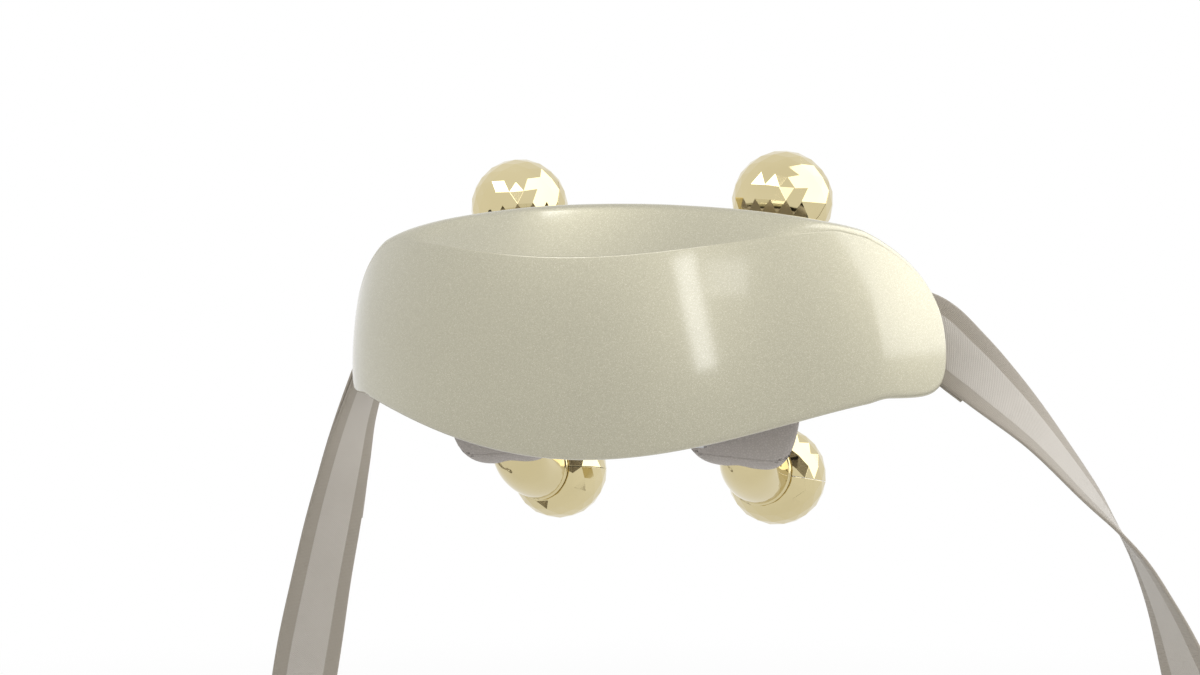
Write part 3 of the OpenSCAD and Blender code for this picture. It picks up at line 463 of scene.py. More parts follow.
def brushed_look(name, colour, low, high):
    look = Look(name, metallic=1.0)
    stretch = look.node("ShaderNodeMapping")
    stretch.inputs["Scale"].default_value = (60, 60, 2600)
    look.link(look.place(), stretch.inputs["Vector"])
    lines = look.noise(1.0, 3, vector=stretch.outputs["Vector"])
    look.colour(look.ramp(lines, [(0.3, tuple(c * 0.85 for c in colour)), (0.7, colour)]))
    look.roughness(lines, low, high)
    look.bump(lines, 0.01)
    return look.material


LOOKS = {
    "pearl_shell": pearl_look(),
    "gold_plated_plastic": gold_look(),
    "pod_skin": pod_look(),
    "webbing": webbing_look((0.67, 0.63, 0.57), (0.45, 0.405, 0.34)),
    "circuit_board": board_look(),
    "heater_film": heater_look(),
    "grey_plastic": plain_look("grey_moulded", (0.40, 0.365, 0.335), 0.38, 0.52, grain_mm=0.5, depth_mm=0.03),
    "soft_pad": plain_look("soft_silicone", (0.30, 0.27, 0.245), 0.5, 0.65,
                           grain_mm=0.7, depth_mm=0.04, sheen=0.2),
    "grey_rubber": plain_look("grey_rubber", (0.24, 0.215, 0.19), 0.5, 0.62, grain_mm=0.3),
    "steel": brushed_look("brushed_steel", (0.62, 0.63, 0.65), 0.22, 0.36),
    "motor_can": brushed_look("drawn_steel", (0.55, 0.56, 0.58), 0.28, 0.42),
    "brass": brushed_look("turned_brass", (0.78, 0.58, 0.24), 0.18, 0.3),
    "bearing_bronze": plain_look("sintered_bronze", (0.55, 0.36, 0.17), 0.4, 0.55,
                                 metallic=1.0, grain_mm=0.12),
    "battery_wrap": plain_look("shrink_film", (0.03, 0.12, 0.32), 0.28, 0.4, grain_mm=1.5, depth_mm=0.05),
    "black_plastic": plain_look("glass_filled_nylon", (0.03, 0.03, 0.032), 0.42, 0.6,
                                 grain_mm=0.25, vary=0.3),
    "gear_plastic": plain_look("natural_acetal", (0.76, 0.74, 0.66), 0.3, 0.42, grain_mm=0.6, vary=0.05),
    "light_lens": plain_look("frosted_lens", (0.82, 0.86, 0.88), 0.25, 0.35, grain_mm=0.2, vary=0.04),
}


def dress_cad_nodes():
    for name, node in frame["nodes"].items():
        material = LOOKS[SLOT_OF[name]]
        node.data.materials.clear()
        node.data.materials.append(material)


dress_cad_nodes()


# Casing front: a fine grid over the same outline, with its rim rounded over

STATIONS = 110
EDGE_R = 1.7


def outline_points(top_drop, low_rise, inset):
    """The outline in arc length and height, for distances to the edge."""
    shares = [math.sin(math.pi / 2 * i / 400) for i in range(-400, 401)]
    angles = [s * (END - inset) for s in shares]
    scale = END / (END - inset)
    top = [(arc_length(a), top_z(a * scale) - top_drop) for a in angles]
    low = [(arc_length(a), low_z(a * scale) + low_rise) for a in angles]
    return np.array(top + low[::-1])


def edge_distance(outline, s, z):
    p = np.array((s, z))
    a, b = outline, np.roll(outline, -1, axis=0)
    d = b - a
    t = np.clip(((p - a) * d).sum(1) / np.maximum((d * d).sum(1), 1e-12), 0, 1)
    return float(np.sqrt((((a + d * t[:, None]) - p) ** 2).sum(1).min()))


def rounding(distance, radius):
    if distance >= radius:
        return 0
    return radius - math.sqrt(max(0, radius ** 2 - (radius - distance) ** 2))


def near_ends(n):
    """Shares from 0 to 1, close together at both ends."""
    return [(1 - math.cos(math.pi * i / n)) / 2 for i in range(n + 1)]


def front_surface(angle):
    """Depth and height of the front at one angle, from its lower edge to its top edge."""
    top, low, crease = top_z(angle), low_z(angle), crease_z(angle)
    hollow = 1 - smooth((abs(angle) - 24) / 14)
    fold = face_depth(crease)
    lip = fold + mix(SCOOP_D, 3.4, smooth((abs(angle) - 14) / 22))
    rows = [(face_depth(mix(low, crease, t)), mix(low, crease, t)) for t in near_ends(44)]
    for t in near_ends(22)[1:]:
        bowl = t + 0.2 * t * (1 - t)
        dome = 1 - cos_d(90 * t)
        rows.append((fold + (lip - fold) * mix(dome, bowl, hollow),
                     crease + (top - crease) * mix(sin_d(90 * t), t, hollow)))
    return rows


def soften(rows):
    """Rounds the crease off over its neighbours."""
    out = [rows[0]]
    for a, b, c in zip(rows, rows[1:], rows[2:]):
        out.append(((a[0] + 2 * b[0] + c[0]) / 4, b[1]))
    return out + [rows[-1]]


def casing_front():
    outline = outline_points(0, 0, 0)
    columns = []
    for i in range(-STATIONS, STATIONS + 1):
        angle = END * min(0.99996, abs(math.sin(math.pi / 2 * i / STATIONS))) * (1 if i >= 0 else -1)
        back = body_depth(angle) - TRAY_RIM
        rows = soften(soften(front_surface(angle)))
        skin = []
        for depth, z in rows:
            extra = rounding(edge_distance(outline, arc_length(angle), z), EDGE_R)
            skin.append((depth + extra, z))
        low, top = skin[0], skin[-1]
        under = [(mix(back, low[0], t), low[1]) for t in (0, 0.33, 0.66)]
        over = [(mix(top[0], back, t), top[1]) for t in (0.34, 0.67, 1)]
        inner_low = [(back + 0.02, low[1] + 1.2), (back - 3, low[1] + 1.4)]
        inner_top = [(back - 3, top[1] - 1.4), (back + 0.02, top[1] - 1.2)]
        section = inner_low[::-1] + under + skin + over + inner_top[::-1]
        columns.append([face_at(angle, d, z) for d, z in section])
    m = len(columns[0])
    verts = [p for column in columns for p in column]
    return verts, grid_faces(len(columns), m)


def build_casing():
    verts, faces = casing_front()
    return make_piece("casing_front", verts, faces, "casing", LOOKS["pearl_shell"],
                      ["outer_shell"])


build_casing()


# Rear housing: the tray, with round openings for the arm hubs

SEAM = 0.15
TRAY_EDGE = 2.4
ARM_X = 53.0
HUB_HOLE_R = 15.0


def tray_surface():
    limit = END - 0.2
    scale = END / limit
    outline = outline_points(1.4, 0.2, 0.2)
    columns = []
    for i in range(-STATIONS, STATIONS + 1):
        angle = limit * min(0.9996, abs(math.sin(math.pi / 2 * i / STATIONS))) * (1 if i >= 0 else -1)
        top, low = top_z(angle * scale) - 1.4, low_z(angle * scale) + 0.2
        back = body_depth(angle) - 0.1
        start = body_depth(angle) - TRAY_RIM + SEAM
        skin = []
        for t in near_ends(48):
            z = mix(low, top, t)
            skin.append((back - rounding(edge_distance(outline, arc_length(angle), z), TRAY_EDGE), z))
        rim = [(start, low + 1.6), (start, low), (mix(start, skin[0][0], 0.5), low)]
        rim_top = [(mix(start, skin[-1][0], 0.5), top), (start, top), (start, top - 1.6)]
        columns.append([face_at(angle, d, z) for d, z in rim + skin + rim_top])
    verts = [p for column in columns for p in column]
    return verts, grid_faces(len(columns), len(columns[0]))


def cutter(verts, faces):
    mesh = bpy.data.meshes.new("cutter")
    mesh.from_pydata([tuple(c * MM for c in v) for v in verts], [], faces)
    bm = bmesh.new()
    bm.from_mesh(mesh)
    bmesh.ops.recalc_face_normals(bm, faces=bm.faces)
    bm.to_mesh(mesh)
    bm.free()
    return bpy.data.objects.new("cutter", mesh)


def round_cutter(x, z, radius, y0, y1, sides=72):
    rings = [[(x + radius * math.cos(2 * math.pi * i / sides), y,
               z + radius * math.sin(2 * math.pi * i / sides))
              for i in range(sides)] for y in (y0, y1)]
    return cutter(*loft(rings))


def cut_hole(piece, tool):
    """Takes the faces inside the tool out of an open skin and closes the rim to its edge."""
    bpy.context.scene.collection.objects.link(tool)
    apply_modifier(piece, "BOOLEAN", operation="DIFFERENCE", object=tool, solver="EXACT")
    bpy.data.objects.remove(tool)


def build_housing():
    verts, faces = tray_surface()
    piece = make_piece("rear_housing_shell", verts, faces, "casing", LOOKS["grey_plastic"],
                       ["rear_housing"])
    apply_modifier(piece, "SOLIDIFY", thickness=1.2 * MM, offset=-1)
    for side in (-1, 1):
        cut_hole(piece, round_cutter(side * ARM_X, 0, HUB_HOLE_R, -46, -30))
    for polygon in piece.data.polygons:
        polygon.use_smooth = True
    return piece


build_housing()


# Arms

TILT = 4.7
BALL_RISE = 54.6
BALL_DROP = 56.6
LOWER_BALL_Y = 21.0
STUB_Y = -19.0
UPPER_STUB_Z = 27.0
LOWER_STUB_Z = -44.0
COVER_BACK_W = 24.5
COVER_FRONT_W = 15.0
COVER_FLARE = 1.2
# How much the lower end of a pod rises towards the neck, to clear its horn
POD_LIFT = 6.0
# How round each end of a pod is: the power of the height and the root taken of what is left
POD_LOWER_END = (4, 0.3)
POD_UPPER_END = (6, 0.2)
COVER_DEPTH = 31.0
COVER_LOW = 52.4
COVER_HIGH = 38.0
COVER_BACK_Y = -35.2
PLATE_SPLIT = 4.0
BALL_R = 20.25
BALL_CUT = BALL_R * 0.73
BALL_GAP = 0.4
# Half of the fine seam between the two halves of a ball
SEAM_HALF = 0.1
RING_THICK = 1.8
RING_R = 13.5
ELBOW_R = 11.3
AIM = {"upper": (14.4, 59.0), "lower": (7.0, -7.0)}
SIDES = {"left": -1, "right": 1}


def arm_matrix(side):
    return Matrix.Translation((side * ARM_X, 0, 0)) @ Matrix.Rotation(math.radians(side * TILT), 4, "Y")


def ball_centre(level):
    return Vector((0, 0, BALL_RISE)) if level == "upper" else Vector((0, LOWER_BALL_Y, -BALL_DROP))


def aim(level):
    heading, rise = AIM[level]
    return Vector((cos_d(rise) * sin_d(heading), cos_d(rise) * cos_d(heading), sin_d(rise)))


def ball_matrix(side, level):
    heading, rise = AIM[level]
    turn = Matrix.Rotation(math.radians(-heading), 4, "Z") @ Matrix.Rotation(math.radians(rise - 90), 4, "X")
    return arm_matrix(side) @ Matrix.Translation(ball_centre(level)) @ turn


def moved(matrix, verts):
    return [tuple(matrix @ Vector(v)) for v in verts]


def superellipse_ring(t, sides):
    """One level of the pod; t runs from -1 at its lower end to 1 at its upper end."""
    power, root = POD_LOWER_END if t < 0 else POD_UPPER_END
    scale = max(0, 1 - t ** power) ** root
    mid, tall = (COVER_HIGH - COVER_LOW) / 2, (COVER_HIGH + COVER_LOW) / 2
    ring = []
    for i in range(sides):
        c, q = math.cos(2 * math.pi * i / sides), math.sin(2 * math.pi * i / sides)
        deep = math.copysign(abs(q) ** (0.4 if q < 0 else 0.8), q)
        half = mix(COVER_FRONT_W, COVER_BACK_W * COVER_FLARE, ((1 - deep) / 2) ** 3)
        lift = POD_LIFT * smooth((-t - 0.1) / 0.8) * ((1 + scale * deep) / 2) ** 1.5
        ring.append((half * scale * math.copysign(abs(c) ** (0.25 if q < 0 else 0.8), c),
                     COVER_BACK_Y + COVER_DEPTH / 2 * (1 + scale * deep), mid + tall * t + lift))
    return ring


def pod_half(keep_front):
    rings = [superellipse_ring(0.9999 * math.sin(math.pi * (k / 72 - 0.5)), 128) for k in range(73)]
    verts, faces = loft(rings)
    mesh = bpy.data.meshes.new("pod")
    mesh.from_pydata(verts, [], faces)
    bm = bmesh.new()
    bm.from_mesh(mesh)
    bmesh.ops.recalc_face_normals(bm, faces=bm.faces)
    cut_y = COVER_BACK_Y + PLATE_SPLIT - (0 if keep_front else 0.25)
    found = bmesh.ops.bisect_plane(bm, geom=bm.verts[:] + bm.edges[:] + bm.faces[:], plane_co=(0, cut_y, 0),
                                   plane_no=(0, -1 if keep_front else 1, 0), clear_outer=True)
    rim = [e for e in found["geom_cut"] if isinstance(e, bmesh.types.BMEdge)]
    bmesh.ops.holes_fill(bm, edges=rim)
    bmesh.ops.bevel(bm, geom=rim, offset=0.35, segments=3, profile=0.5, affect="EDGES")
    bm.to_mesh(mesh)
    bm.free()
    verts = [tuple(v.co) for v in mesh.vertices]
    faces = [tuple(p.vertices) for p in mesh.polygons]
    bpy.data.meshes.remove(mesh)
    return verts, faces


def build_pods():
    front, back = pod_half(True), pod_half(False)
    for word, side in SIDES.items():
        m = arm_matrix(side)
        make_piece(word + "_pod_skin", moved(m, front[0]), front[1], word + "_arm",
                   LOOKS["pod_skin"], [word + "_arm_cover"])
        make_piece(word + "_pod_back", moved(m, back[0]), back[1], word + "_arm",
                   LOOKS["pod_skin"], [word + "_arm_back"])


build_pods()

HORN_HANDLES = {"upper": (3, 3, 7, 7), "lower": (4, 4, 11, 13)}


def bezier(p, t):
    u = 1 - t
    return p[0] * u ** 3 + p[1] * (3 * u * u * t) + p[2] * (3 * u * t * t) + p[3] * t ** 3


def horn_strand(level, angle):
    way = 1 if level == "upper" else -1
    heading, rise = AIM[level]
    ahead = Vector((sin_d(heading), cos_d(heading), 0))
    across = way * Vector((-cos_d(heading), sin_d(heading), 0))
    turned = way * (sin_d(rise) * ahead - cos_d(rise) * Vector((0, 0, 1)))
    hold = HORN_HANDLES[level]
    out = (1 - math.cos(angle)) / 2
    foot = Vector((0, STUB_Y, UPPER_STUB_Z if level == "upper" else LOWER_STUB_Z))
    root = foot + ELBOW_R * (math.cos(angle) * ahead + math.sin(angle) * across)
    centre = ball_centre(level) - (BALL_CUT + BALL_GAP + RING_THICK) * aim(level)
    tip = centre + (RING_R - 0.6) * (math.cos(angle) * turned + math.sin(angle) * across)
    return (root, root + Vector((0, 0, way * mix(hold[0], hold[2], out))),
            tip - mix(hold[1], hold[3], out) * aim(level), tip)


def lathe(profile, sides=96):
    """Rings about local Z from a list of (radius, height)."""
    return [[(r * math.cos(2 * math.pi * i / sides), r * math.sin(2 * math.pi * i / sides), z)
             for i in range(sides)] for r, z in profile]


# Ring at the end of an elbow: a rounded bead, a groove and a thin inner bead
RING_PROFILE = [(12.4, -2.6), (12.9, -2.3), (13.3, -1.95), (13.48, -1.5), (13.5, -1.1), (13.38, -0.75),
                (13.1, -0.55), (12.75, -0.5), (12.6, -0.42), (12.75, -0.34), (13.0, -0.28),
                (13.08, -0.12), (13.0, 0.0), (12.7, 0.06), (5.0, 0.06)]


def build_elbows():
    for word, side in SIDES.items():
        for level in ("upper", "lower"):
            strands = [horn_strand(level, 2 * math.pi * i / 72) for i in range(72)]
            rings = [[tuple(bezier(p, k / 40)) for p in strands] for k in range(41)]
            verts, faces = loft(rings)
            place = ball_matrix(side, level) @ Matrix.Translation((0, 0, -BALL_CUT - BALL_GAP))
            ring_verts, ring_faces = loft(lathe(RING_PROFILE))
            verts, faces = merge([(moved(arm_matrix(side), verts), faces),
                                  (moved(place, ring_verts), ring_faces)])
            make_piece(f"{word}_{level}_horn", verts, faces, word + "_arm",
                       LOOKS["gold_plated_plastic"], [f"{word}_{level}_elbow"])


build_elbows()


# Balls: 320 flat facets, cut into two halves along the parting plane

GOLDEN = (1 + math.sqrt(5)) / 2
ICO_POINTS = [(-1, GOLDEN, 0), (1, GOLDEN, 0), (-1, -GOLDEN, 0), (1, -GOLDEN, 0),
              (0, -1, GOLDEN), (0, 1, GOLDEN), (0, -1, -GOLDEN), (0, 1, -GOLDEN),
              (GOLDEN, 0, -1), (GOLDEN, 0, 1), (-GOLDEN, 0, -1), (-GOLDEN, 0, 1)]
ICO_FACES = [(0, 11, 5), (0, 5, 1), (0, 1, 7), (0, 7, 10), (0, 10, 11), (1, 5, 9), (5, 11, 4), (11, 10, 2),
             (10, 7, 6), (7, 1, 8), (3, 9, 4), (3, 4, 2), (3, 2, 6), (3, 6, 8), (3, 8, 9), (4, 9, 5),
             (2, 4, 11),
             (6, 2, 10), (8, 6, 7), (9, 8, 1)]
FACET_CUTS = 4


def facet_sphere():
    def spot(face, i, j):
        v = (Vector(ICO_POINTS[face[0]]) * (FACET_CUTS - i - j) + Vector(ICO_POINTS[face[1]]) * i
             + Vector(ICO_POINTS[face[2]]) * j)
        return tuple(v.normalized() * BALL_R)
    verts, faces = [], []
    for face in ICO_FACES:
        for i in range(FACET_CUTS):
            for j in range(FACET_CUTS - i):
                faces.append((len(verts), len(verts) + 1, len(verts) + 2))
                verts += [spot(face, i, j), spot(face, i + 1, j), spot(face, i, j + 1)]
                if i + j < FACET_CUTS - 1:
                    faces.append((len(verts), len(verts) + 1, len(verts) + 2))
                    verts += [spot(face, i + 1, j), spot(face, i + 1, j + 1), spot(face, i, j + 1)]
    return verts, faces


def ball_half(part):
    verts, faces = facet_sphere()
    mesh = bpy.data.meshes.new("ball")
    mesh.from_pydata(verts, [], faces)
    bm = bmesh.new()
    bm.from_mesh(mesh)
    bmesh.ops.remove_doubles(bm, verts=bm.verts, dist=0.001)
    bmesh.ops.recalc_face_normals(bm, faces=bm.faces)
    for point, normal in (((0, part * SEAM_HALF, 0), (0, -part, 0)), ((0, 0, -BALL_CUT), (0, 0, -1))):
        found = bmesh.ops.bisect_plane(bm, geom=bm.verts[:] + bm.edges[:] + bm.faces[:], plane_co=point,
                                       plane_no=normal, clear_outer=True)
        rim = [e for e in found["geom_cut"] if isinstance(e, bmesh.types.BMEdge)]
        bmesh.ops.holes_fill(bm, edges=rim)
    sharp = [e for e in bm.edges if len(e.link_faces) == 2 and e.calc_face_angle() > 0.05]
    bmesh.ops.bevel(bm, geom=sharp, offset=0.12, segments=2, profile=0.6, affect="EDGES")
    bm.to_mesh(mesh)
    bm.free()
    verts = [tuple(v.co) for v in mesh.vertices]
    faces = [tuple(p.vertices) for p in mesh.polygons]
    bpy.data.meshes.remove(mesh)
    return verts, faces


def build_balls():
    halves = {"a": ball_half(1), "b": ball_half(-1)}
    for word, side in SIDES.items():
        for level in ("upper", "lower"):
            m = ball_matrix(side, level)
            for letter, (verts, faces) in halves.items():
                name = f"{word}_{level}_ball"
                make_piece(f"{name}_half_{letter}", moved(m, verts), faces, name,
                           LOOKS["gold_plated_plastic"], [f"{name}_{letter}"], smooth_shade=False)


build_balls()


# Straps, along the same routes as in the part's source

STRAP_FACES = Vector((-math.sin(YAW), math.cos(YAW), 0))
STRAP_THICK = 1.6
# Middle line of each strap from its bar, and the twist of the band at each point in degrees
LEFT_ROUTE = [(2.7, 2.2, 0), (-2.6, 8, 0), (-9, 12.5, -1.2), (-17, 15.5, -8), (-25, 16, -20),
              (-31.4, 15.5, -37),
              (-36.6, 15, -57), (-43, 15, -83), (-50, 15, -114), (-57, 15, -150),
              (-62, 15, -183), (-64, 15, -208)]
LEFT_TWIST = [0, 0, 25, 60, 66, 62, 50, 38, 28, 5, -14, -22]
RIGHT_ROUTE = [(-2.4, 1.8, 0), (2.6, 8, 1), (8.8, 11.5, 1.6), (15.5, 14, -2), (25, 14.5, -10.6),
               (36, 15, -20.6),
               (55.7, 15, -39.8), (73.8, 15.5, -61), (84.4, 17, -74.7), (93.3, 18, -88), (100.4, 19, -102.8),
               (106.3, 20, -118), (115, 21, -145), (121, 22, -175), (124, 22, -208)]
RIGHT_TWIST = [0, 0, 2, 6, 16, 30, 53, 67, 80, 90, 99, 110, 130, 149, 158]
LOOP_PATH = [(0, 5, -15), (0, 12, -30), (0, 17, -50), (0, 15, -76), (0, 0, -95),
             (0, -15, -76), (0, -17, -50), (0, -12, -30), (0, -6, -15), (0, -2.6, -2)]
BETWEEN = 12


def curve_at(a, b, c, d, t):
    square = 2 * a - 5 * b + 4 * c - d
    cube = 3 * b - a - 3 * c + d
    return 0.5 * (2 * b + (c - a) * t + square * t * t + cube * t ** 3)


def smooth_path(points, steps=BETWEEN):
    n = len(points)
    out = []
    for i in range(n - 1):
        a, b, c, d = points[max(0, i - 1)], points[i], points[i + 1], points[min(n - 1, i + 2)]
        out += [curve_at(a, b, c, d, k / steps) for k in range(steps)]
    return out + [points[-1]]


BAR_ANGLE = 55.0
BAR_OFF = 5.0
BAR_Z = 3.0


def bar_turn(side):
    return Matrix.Rotation(math.radians(side * BAR_ANGLE), 3, "Z")


def bar_at(side):
    foot = Vector(face_at(side * BAR_ANGLE, body_depth(BAR_ANGLE), BAR_Z))
    return foot + bar_turn(side) @ Vector((0, BAR_OFF, 0))


def way_at(path, i):
    return (path[min(len(path) - 1, i + 1)] - path[max(0, i - 1)]).normalized()


def twisted(path, i, turn):
    w = way_at(path, i)
    across = w.cross(STRAP_FACES).normalized()
    return (cos_d(turn) * across + sin_d(turn) * across.cross(w)).normalized()


# Section of the band from edge to edge: place across, half thickness as a share
BAND_SECTION = [(-1.0, 0.35), (-0.985, 0.7), (-0.95, 0.9), (-0.8, 0.92), (-0.64, 0.92), (-0.6, 0.86),
                (-0.575, 0.84), (-0.55, 0.92), (-0.5, 1.0), (-0.25, 1.0), (0.0, 1.0), (0.25, 1.0),
                (0.5, 1.0), (0.55, 0.92), (0.575, 0.84), (0.6, 0.86), (0.64, 0.92), (0.8, 0.92),
                (0.95, 0.9), (0.985, 0.7), (1.0, 0.35)]


def band_mesh(path, widths, lift=0.0, slip=0.0):
    """A woven band: rings across the path, and the place on the band as a UV pair."""
    rings, marks = [], []
    run = 0.0
    for i, (at, width) in enumerate(zip(path, widths)):
        if i:
            run += (at - path[i - 1]).length
        way = way_at(path, i)
        w = (width - way * width.dot(way)).normalized()
        t = way.cross(w)
        at = at + t * lift + w * mix(slip, -slip, smooth(i / len(path)))
        face = [(share, high) for share, high in BAND_SECTION]
        ring = [at + w * (BAND_HALF * s) + t * (STRAP_THICK / 2 * h) for s, h in face]
        ring += [at + w * (BAND_HALF * s) - t * (STRAP_THICK / 2 * h) for s, h in reversed(face)]
        rings.append([tuple(p) for p in ring])
        shares = [s for s, h in face] + [s for s, h in reversed(face)]
        marks.append([(0.5 + s / 2, run * MM) for s in shares])
    return rings, marks, run


def band_piece(name, rings, marks, body, replaces=()):
    verts, faces = loft(rings)
    flat_marks = [uv for ring in marks for uv in ring]
    mesh = bpy.data.meshes.new(name)
    mesh.from_pydata([tuple(c * MM for c in v) for v in verts], [], faces)
    layer = mesh.uv_layers.new(name="band")
    for loop in mesh.loops:
        layer.data[loop.index].uv = flat_marks[loop.vertex_index]
    bm = bmesh.new()
    bm.from_mesh(mesh)
    bmesh.ops.recalc_face_normals(bm, faces=bm.faces)
    bm.to_mesh(mesh)
    bm.free()
    return register(name, mesh, body, LOOKS["webbing"], replaces)


def strap_route(side, points, twist):
    free = [bar_at(side) + p for p in smooth_path([Vector(p) for p in points])]
    turns = smooth_path([float(t) for t in twist])
    widths = [twisted(free, i, turns[i]) for i in range(len(free))]
    tail = free[-1]
    loop = smooth_path([tail] + [tail + Vector(p) for p in LOOP_PATH])
    return free, widths, loop


FOLD_LIFT = -1.75
WRAP_R = 2.7


def bar_wrap(side):
    """The end of the band, once round the steel bar."""
    path = [bar_at(side) + bar_turn(side) @ Vector((WRAP_R * sin_d(a), -WRAP_R * cos_d(a), 0))
            for a in range(-150, 181, 15)]
    return path, [Vector((0, 0, 1))] * len(path)


# The folded lap: its first point on the route and its share of the band's width
FOLD_FROM = 6
FOLD_SHARE = 0.93


def build_strap(word, side, points, twist, fold_reach, slip):
    free, widths, loop = strap_route(side, points, twist)
    path = free + loop[1:]
    rings, marks, run = band_mesh(path, widths + [widths[-1]] * (len(loop) - 1))
    strap = band_piece(word + "_webbing", rings, marks, "casing", [word + "_strap"])
    wrap_path, wrap_widths = bar_wrap(side)
    rings, marks, wrap_run = band_mesh(wrap_path, wrap_widths)
    wrap = band_piece(word + "_webbing_wrap", rings, marks, "casing")
    fold_end = fold_reach * BETWEEN
    narrow = [FOLD_SHARE * w for w in widths[FOLD_FROM:fold_end]]
    rings, marks, fold_run = band_mesh(free[FOLD_FROM:fold_end], narrow, lift=FOLD_LIFT, slip=slip)
    fold = band_piece(word + "_webbing_fold", rings, marks, "casing")


build_strap("left", -1, LEFT_ROUTE, LEFT_TWIST, 7, -1.6)
build_strap("right", 1, RIGHT_ROUTE, RIGHT_TWIST, 5, 0.0)


# Neck pad: a crowned cushion with shallow channels across it

PAD_AT = (0.0, -REAR_REACH + 0.7, 4.0)
PAD_HALF = (20.0, 7.4, 35.0)


def build_pad():
    sides, levels = 96, 26
    rings = []
    for k in range(levels + 1):
        t = k / levels
        shrink = max(0.02, 1 - t ** 5) ** 0.32 if t < 1 else 0.02
        rise = PAD_HALF[1] * math.sin(math.pi / 2 * min(1, t * 1.15)) ** 0.8
        ring = []
        for i in range(sides):
            c, s = math.cos(2 * math.pi * i / sides), math.sin(2 * math.pi * i / sides)
            x = PAD_HALF[0] * shrink * math.copysign(abs(c) ** 0.5, c)
            z = PAD_HALF[2] * shrink * math.copysign(abs(s) ** 0.5, s)
            channel = 0.5 * max(0, math.cos(z * 2 * math.pi / 14)) ** 8 * smooth(rise / PAD_HALF[1])
            ring.append((PAD_AT[0] + x, PAD_AT[1] + rise - channel, PAD_AT[2] + z))
        rings.append(ring)
    verts, faces = loft(rings)
    pad = make_piece("warm_pad", verts, faces, "casing", LOOKS["soft_pad"], ["neck_pad"])


build_pad()


# Floor, lamps and world. A direction is (azimuth, elevation) in degrees seen from the part:
# azimuth 0 is straight in front of it, 90 on its +X side, and 180 behind it

PANEL_FAR = 1.5
# name, middle of one short end, middle of the other, width in metres, brightness (1 is white)
PANELS = [("front_strip", (18.0, -1), (10.5, 28), 0.15, 3.3),
          ("front_window", (24, 18), (24, 27), 0.30, 1.2),
          ("key_left", (-56, 42), (-26, 42), 0.30, 5.0),
          ("key_right", (-22, 42), (16, 42), 0.26, 3.0),
          ("side_panel", (104, 2), (104, 66), 1.9, 1.7)]


def direction(azimuth, elevation):
    return Vector((sin_d(azimuth) * cos_d(elevation), -cos_d(azimuth) * cos_d(elevation), sin_d(elevation)))


def add_panel(name, start, end, width, brightness):
    a, b = PANEL_FAR * direction(*start), PANEL_FAR * direction(*end)
    along = (b - a).normalized()
    out = ((a + b) / 2).normalized()
    out = (out - along * out.dot(along)).normalized()
    data = bpy.data.lights.new(name, "AREA")
    data.shape = "RECTANGLE"
    data.size, data.size_y = width, (b - a).length
    data.energy = math.pi * data.size * data.size_y * brightness
    lamp = bpy.data.objects.new(name, data)
    turn = Matrix((along.cross(out), along, out)).transposed().to_4x4()
    lamp.matrix_world = Matrix.Translation((a + b) / 2) @ turn
    lamp.visible_camera = False
    bpy.context.scene.collection.objects.link(lamp)


def stage_material(name):
    look = bpy.data.materials.new(name)
    look.use_nodes = True
    return look, look.node_tree


def rays(tree, *kinds):
    """1 for a ray of one of these kinds."""
    path = tree.nodes.new("ShaderNodeLightPath")
    seen = path.outputs[f"Is {kinds[0]} Ray"]
    for kind in kinds[1:]:
        either = tree.nodes.new("ShaderNodeMath")
        either.operation = "MAXIMUM"
        tree.links.new(seen, either.inputs[0])
        tree.links.new(path.outputs[f"Is {kind} Ray"], either.inputs[1])
        seen = either.outputs[0]
    return seen


def soft_step(tree, value, start, end, low, high):
    step = tree.nodes.new("ShaderNodeMapRange")
    step.interpolation_type = "SMOOTHSTEP"
    for key, number in (("From Min", start), ("From Max", end), ("To Min", low), ("To Max", high)):
        step.inputs[key].default_value = number
    tree.links.new(value, step.inputs["Value"])
    return step.outputs["Result"]


def combine(tree, operation, a, b):
    node = tree.nodes.new("ShaderNodeMath")
    node.operation = operation
    tree.links.new(a, node.inputs[0])
    tree.links.new(b, node.inputs[1])
    return node.outputs[0]


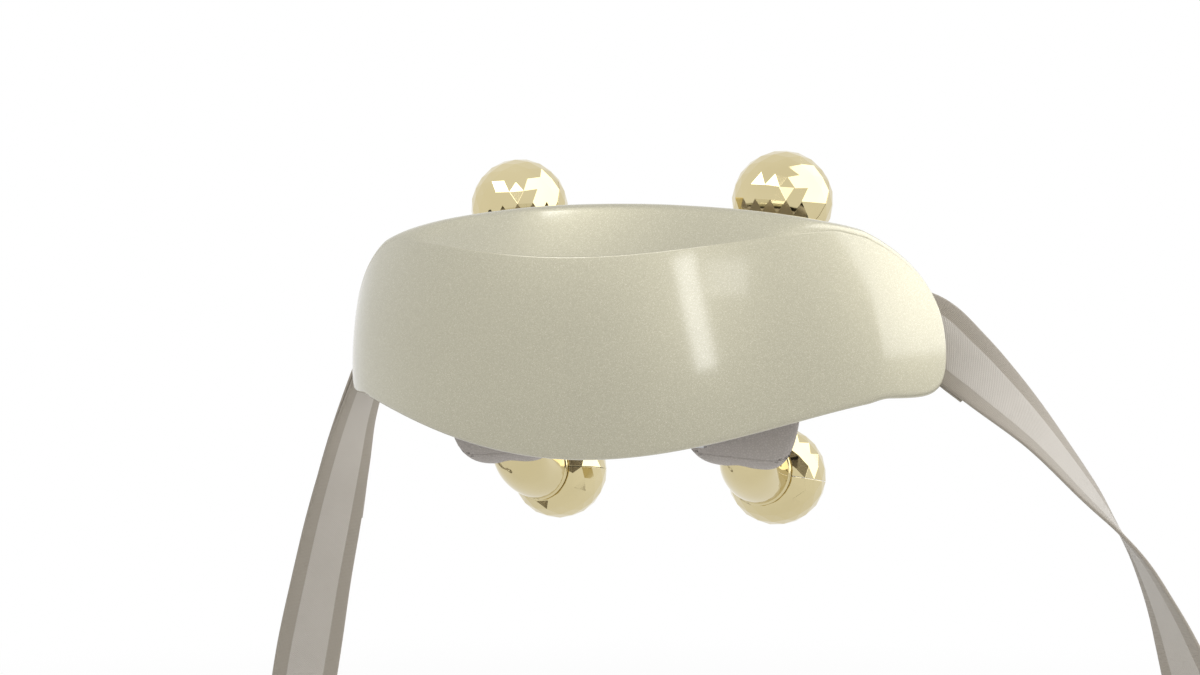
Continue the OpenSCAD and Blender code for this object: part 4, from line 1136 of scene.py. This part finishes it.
def add_floor():
    """Pale floor that fades into the white of the background away from the part."""
    low = CAD_BOX[0][2] - 0.006
    mesh = bpy.data.meshes.new("floor")
    reach, steps = 6.0, 24
    verts = [(-reach + 2 * reach * i / steps, -reach + 2 * reach * j / steps, low)
             for i in range(steps + 1) for j in range(steps + 1)]
    mesh.from_pydata(verts, [], grid_faces(steps + 1, steps + 1))
    floor = bpy.data.objects.new("floor", mesh)
    bpy.context.scene.collection.objects.link(floor)
    look, tree = stage_material("floor_pale")
    shader = tree.nodes["Principled BSDF"]
    shader.inputs["Base Color"].default_value = (0.86, 0.86, 0.86, 1)
    shader.inputs["Roughness"].default_value = 0.9
    shader.inputs["Specular IOR Level"].default_value = 0.0
    glow = tree.nodes.new("ShaderNodeEmission")
    place = tree.nodes.new("ShaderNodeTexCoord")
    length = tree.nodes.new("ShaderNodeVectorMath")
    length.operation = "LENGTH"
    tree.links.new(place.outputs["Object"], length.inputs[0])
    share = combine(tree, "MULTIPLY", rays(tree, "Camera", "Glossy", "Transmission"),
                    soft_step(tree, length.outputs["Value"], 0.5, 1.5, 0.78, 1.0))
    joined = tree.nodes.new("ShaderNodeMixShader")
    tree.links.new(share, joined.inputs["Fac"])
    tree.links.new(shader.outputs["BSDF"], joined.inputs[1])
    tree.links.new(glow.outputs["Emission"], joined.inputs[2])
    tree.links.new(joined.outputs["Shader"], tree.nodes["Material Output"].inputs["Surface"])
    mesh.materials.append(look)


def add_world():
    world = bpy.data.worlds.new("studio")
    bpy.context.scene.world = world
    world.use_nodes = True
    tree = world.node_tree
    tree.nodes.clear()
    out = tree.nodes.new("ShaderNodeOutputWorld")
    fill = tree.nodes.new("ShaderNodeBackground")
    fill.inputs["Color"].default_value = (1, 1, 1, 1)
    fill.inputs["Strength"].default_value = 0.4
    white = tree.nodes.new("ShaderNodeBackground")
    white.inputs["Color"].default_value = (1, 1, 1, 1)
    white.inputs["Strength"].default_value = 1.0
    joined = tree.nodes.new("ShaderNodeMixShader")
    tree.links.new(rays(tree, "Camera", "Glossy", "Transmission"), joined.inputs["Fac"])
    tree.links.new(fill.outputs["Background"], joined.inputs[1])
    tree.links.new(white.outputs["Background"], joined.inputs[2])
    tree.links.new(joined.outputs["Shader"], out.inputs["Surface"])


add_floor()
add_world()
for panel in PANELS:
    add_panel(*panel)

bpy.context.scene.view_settings.view_transform = "Standard"
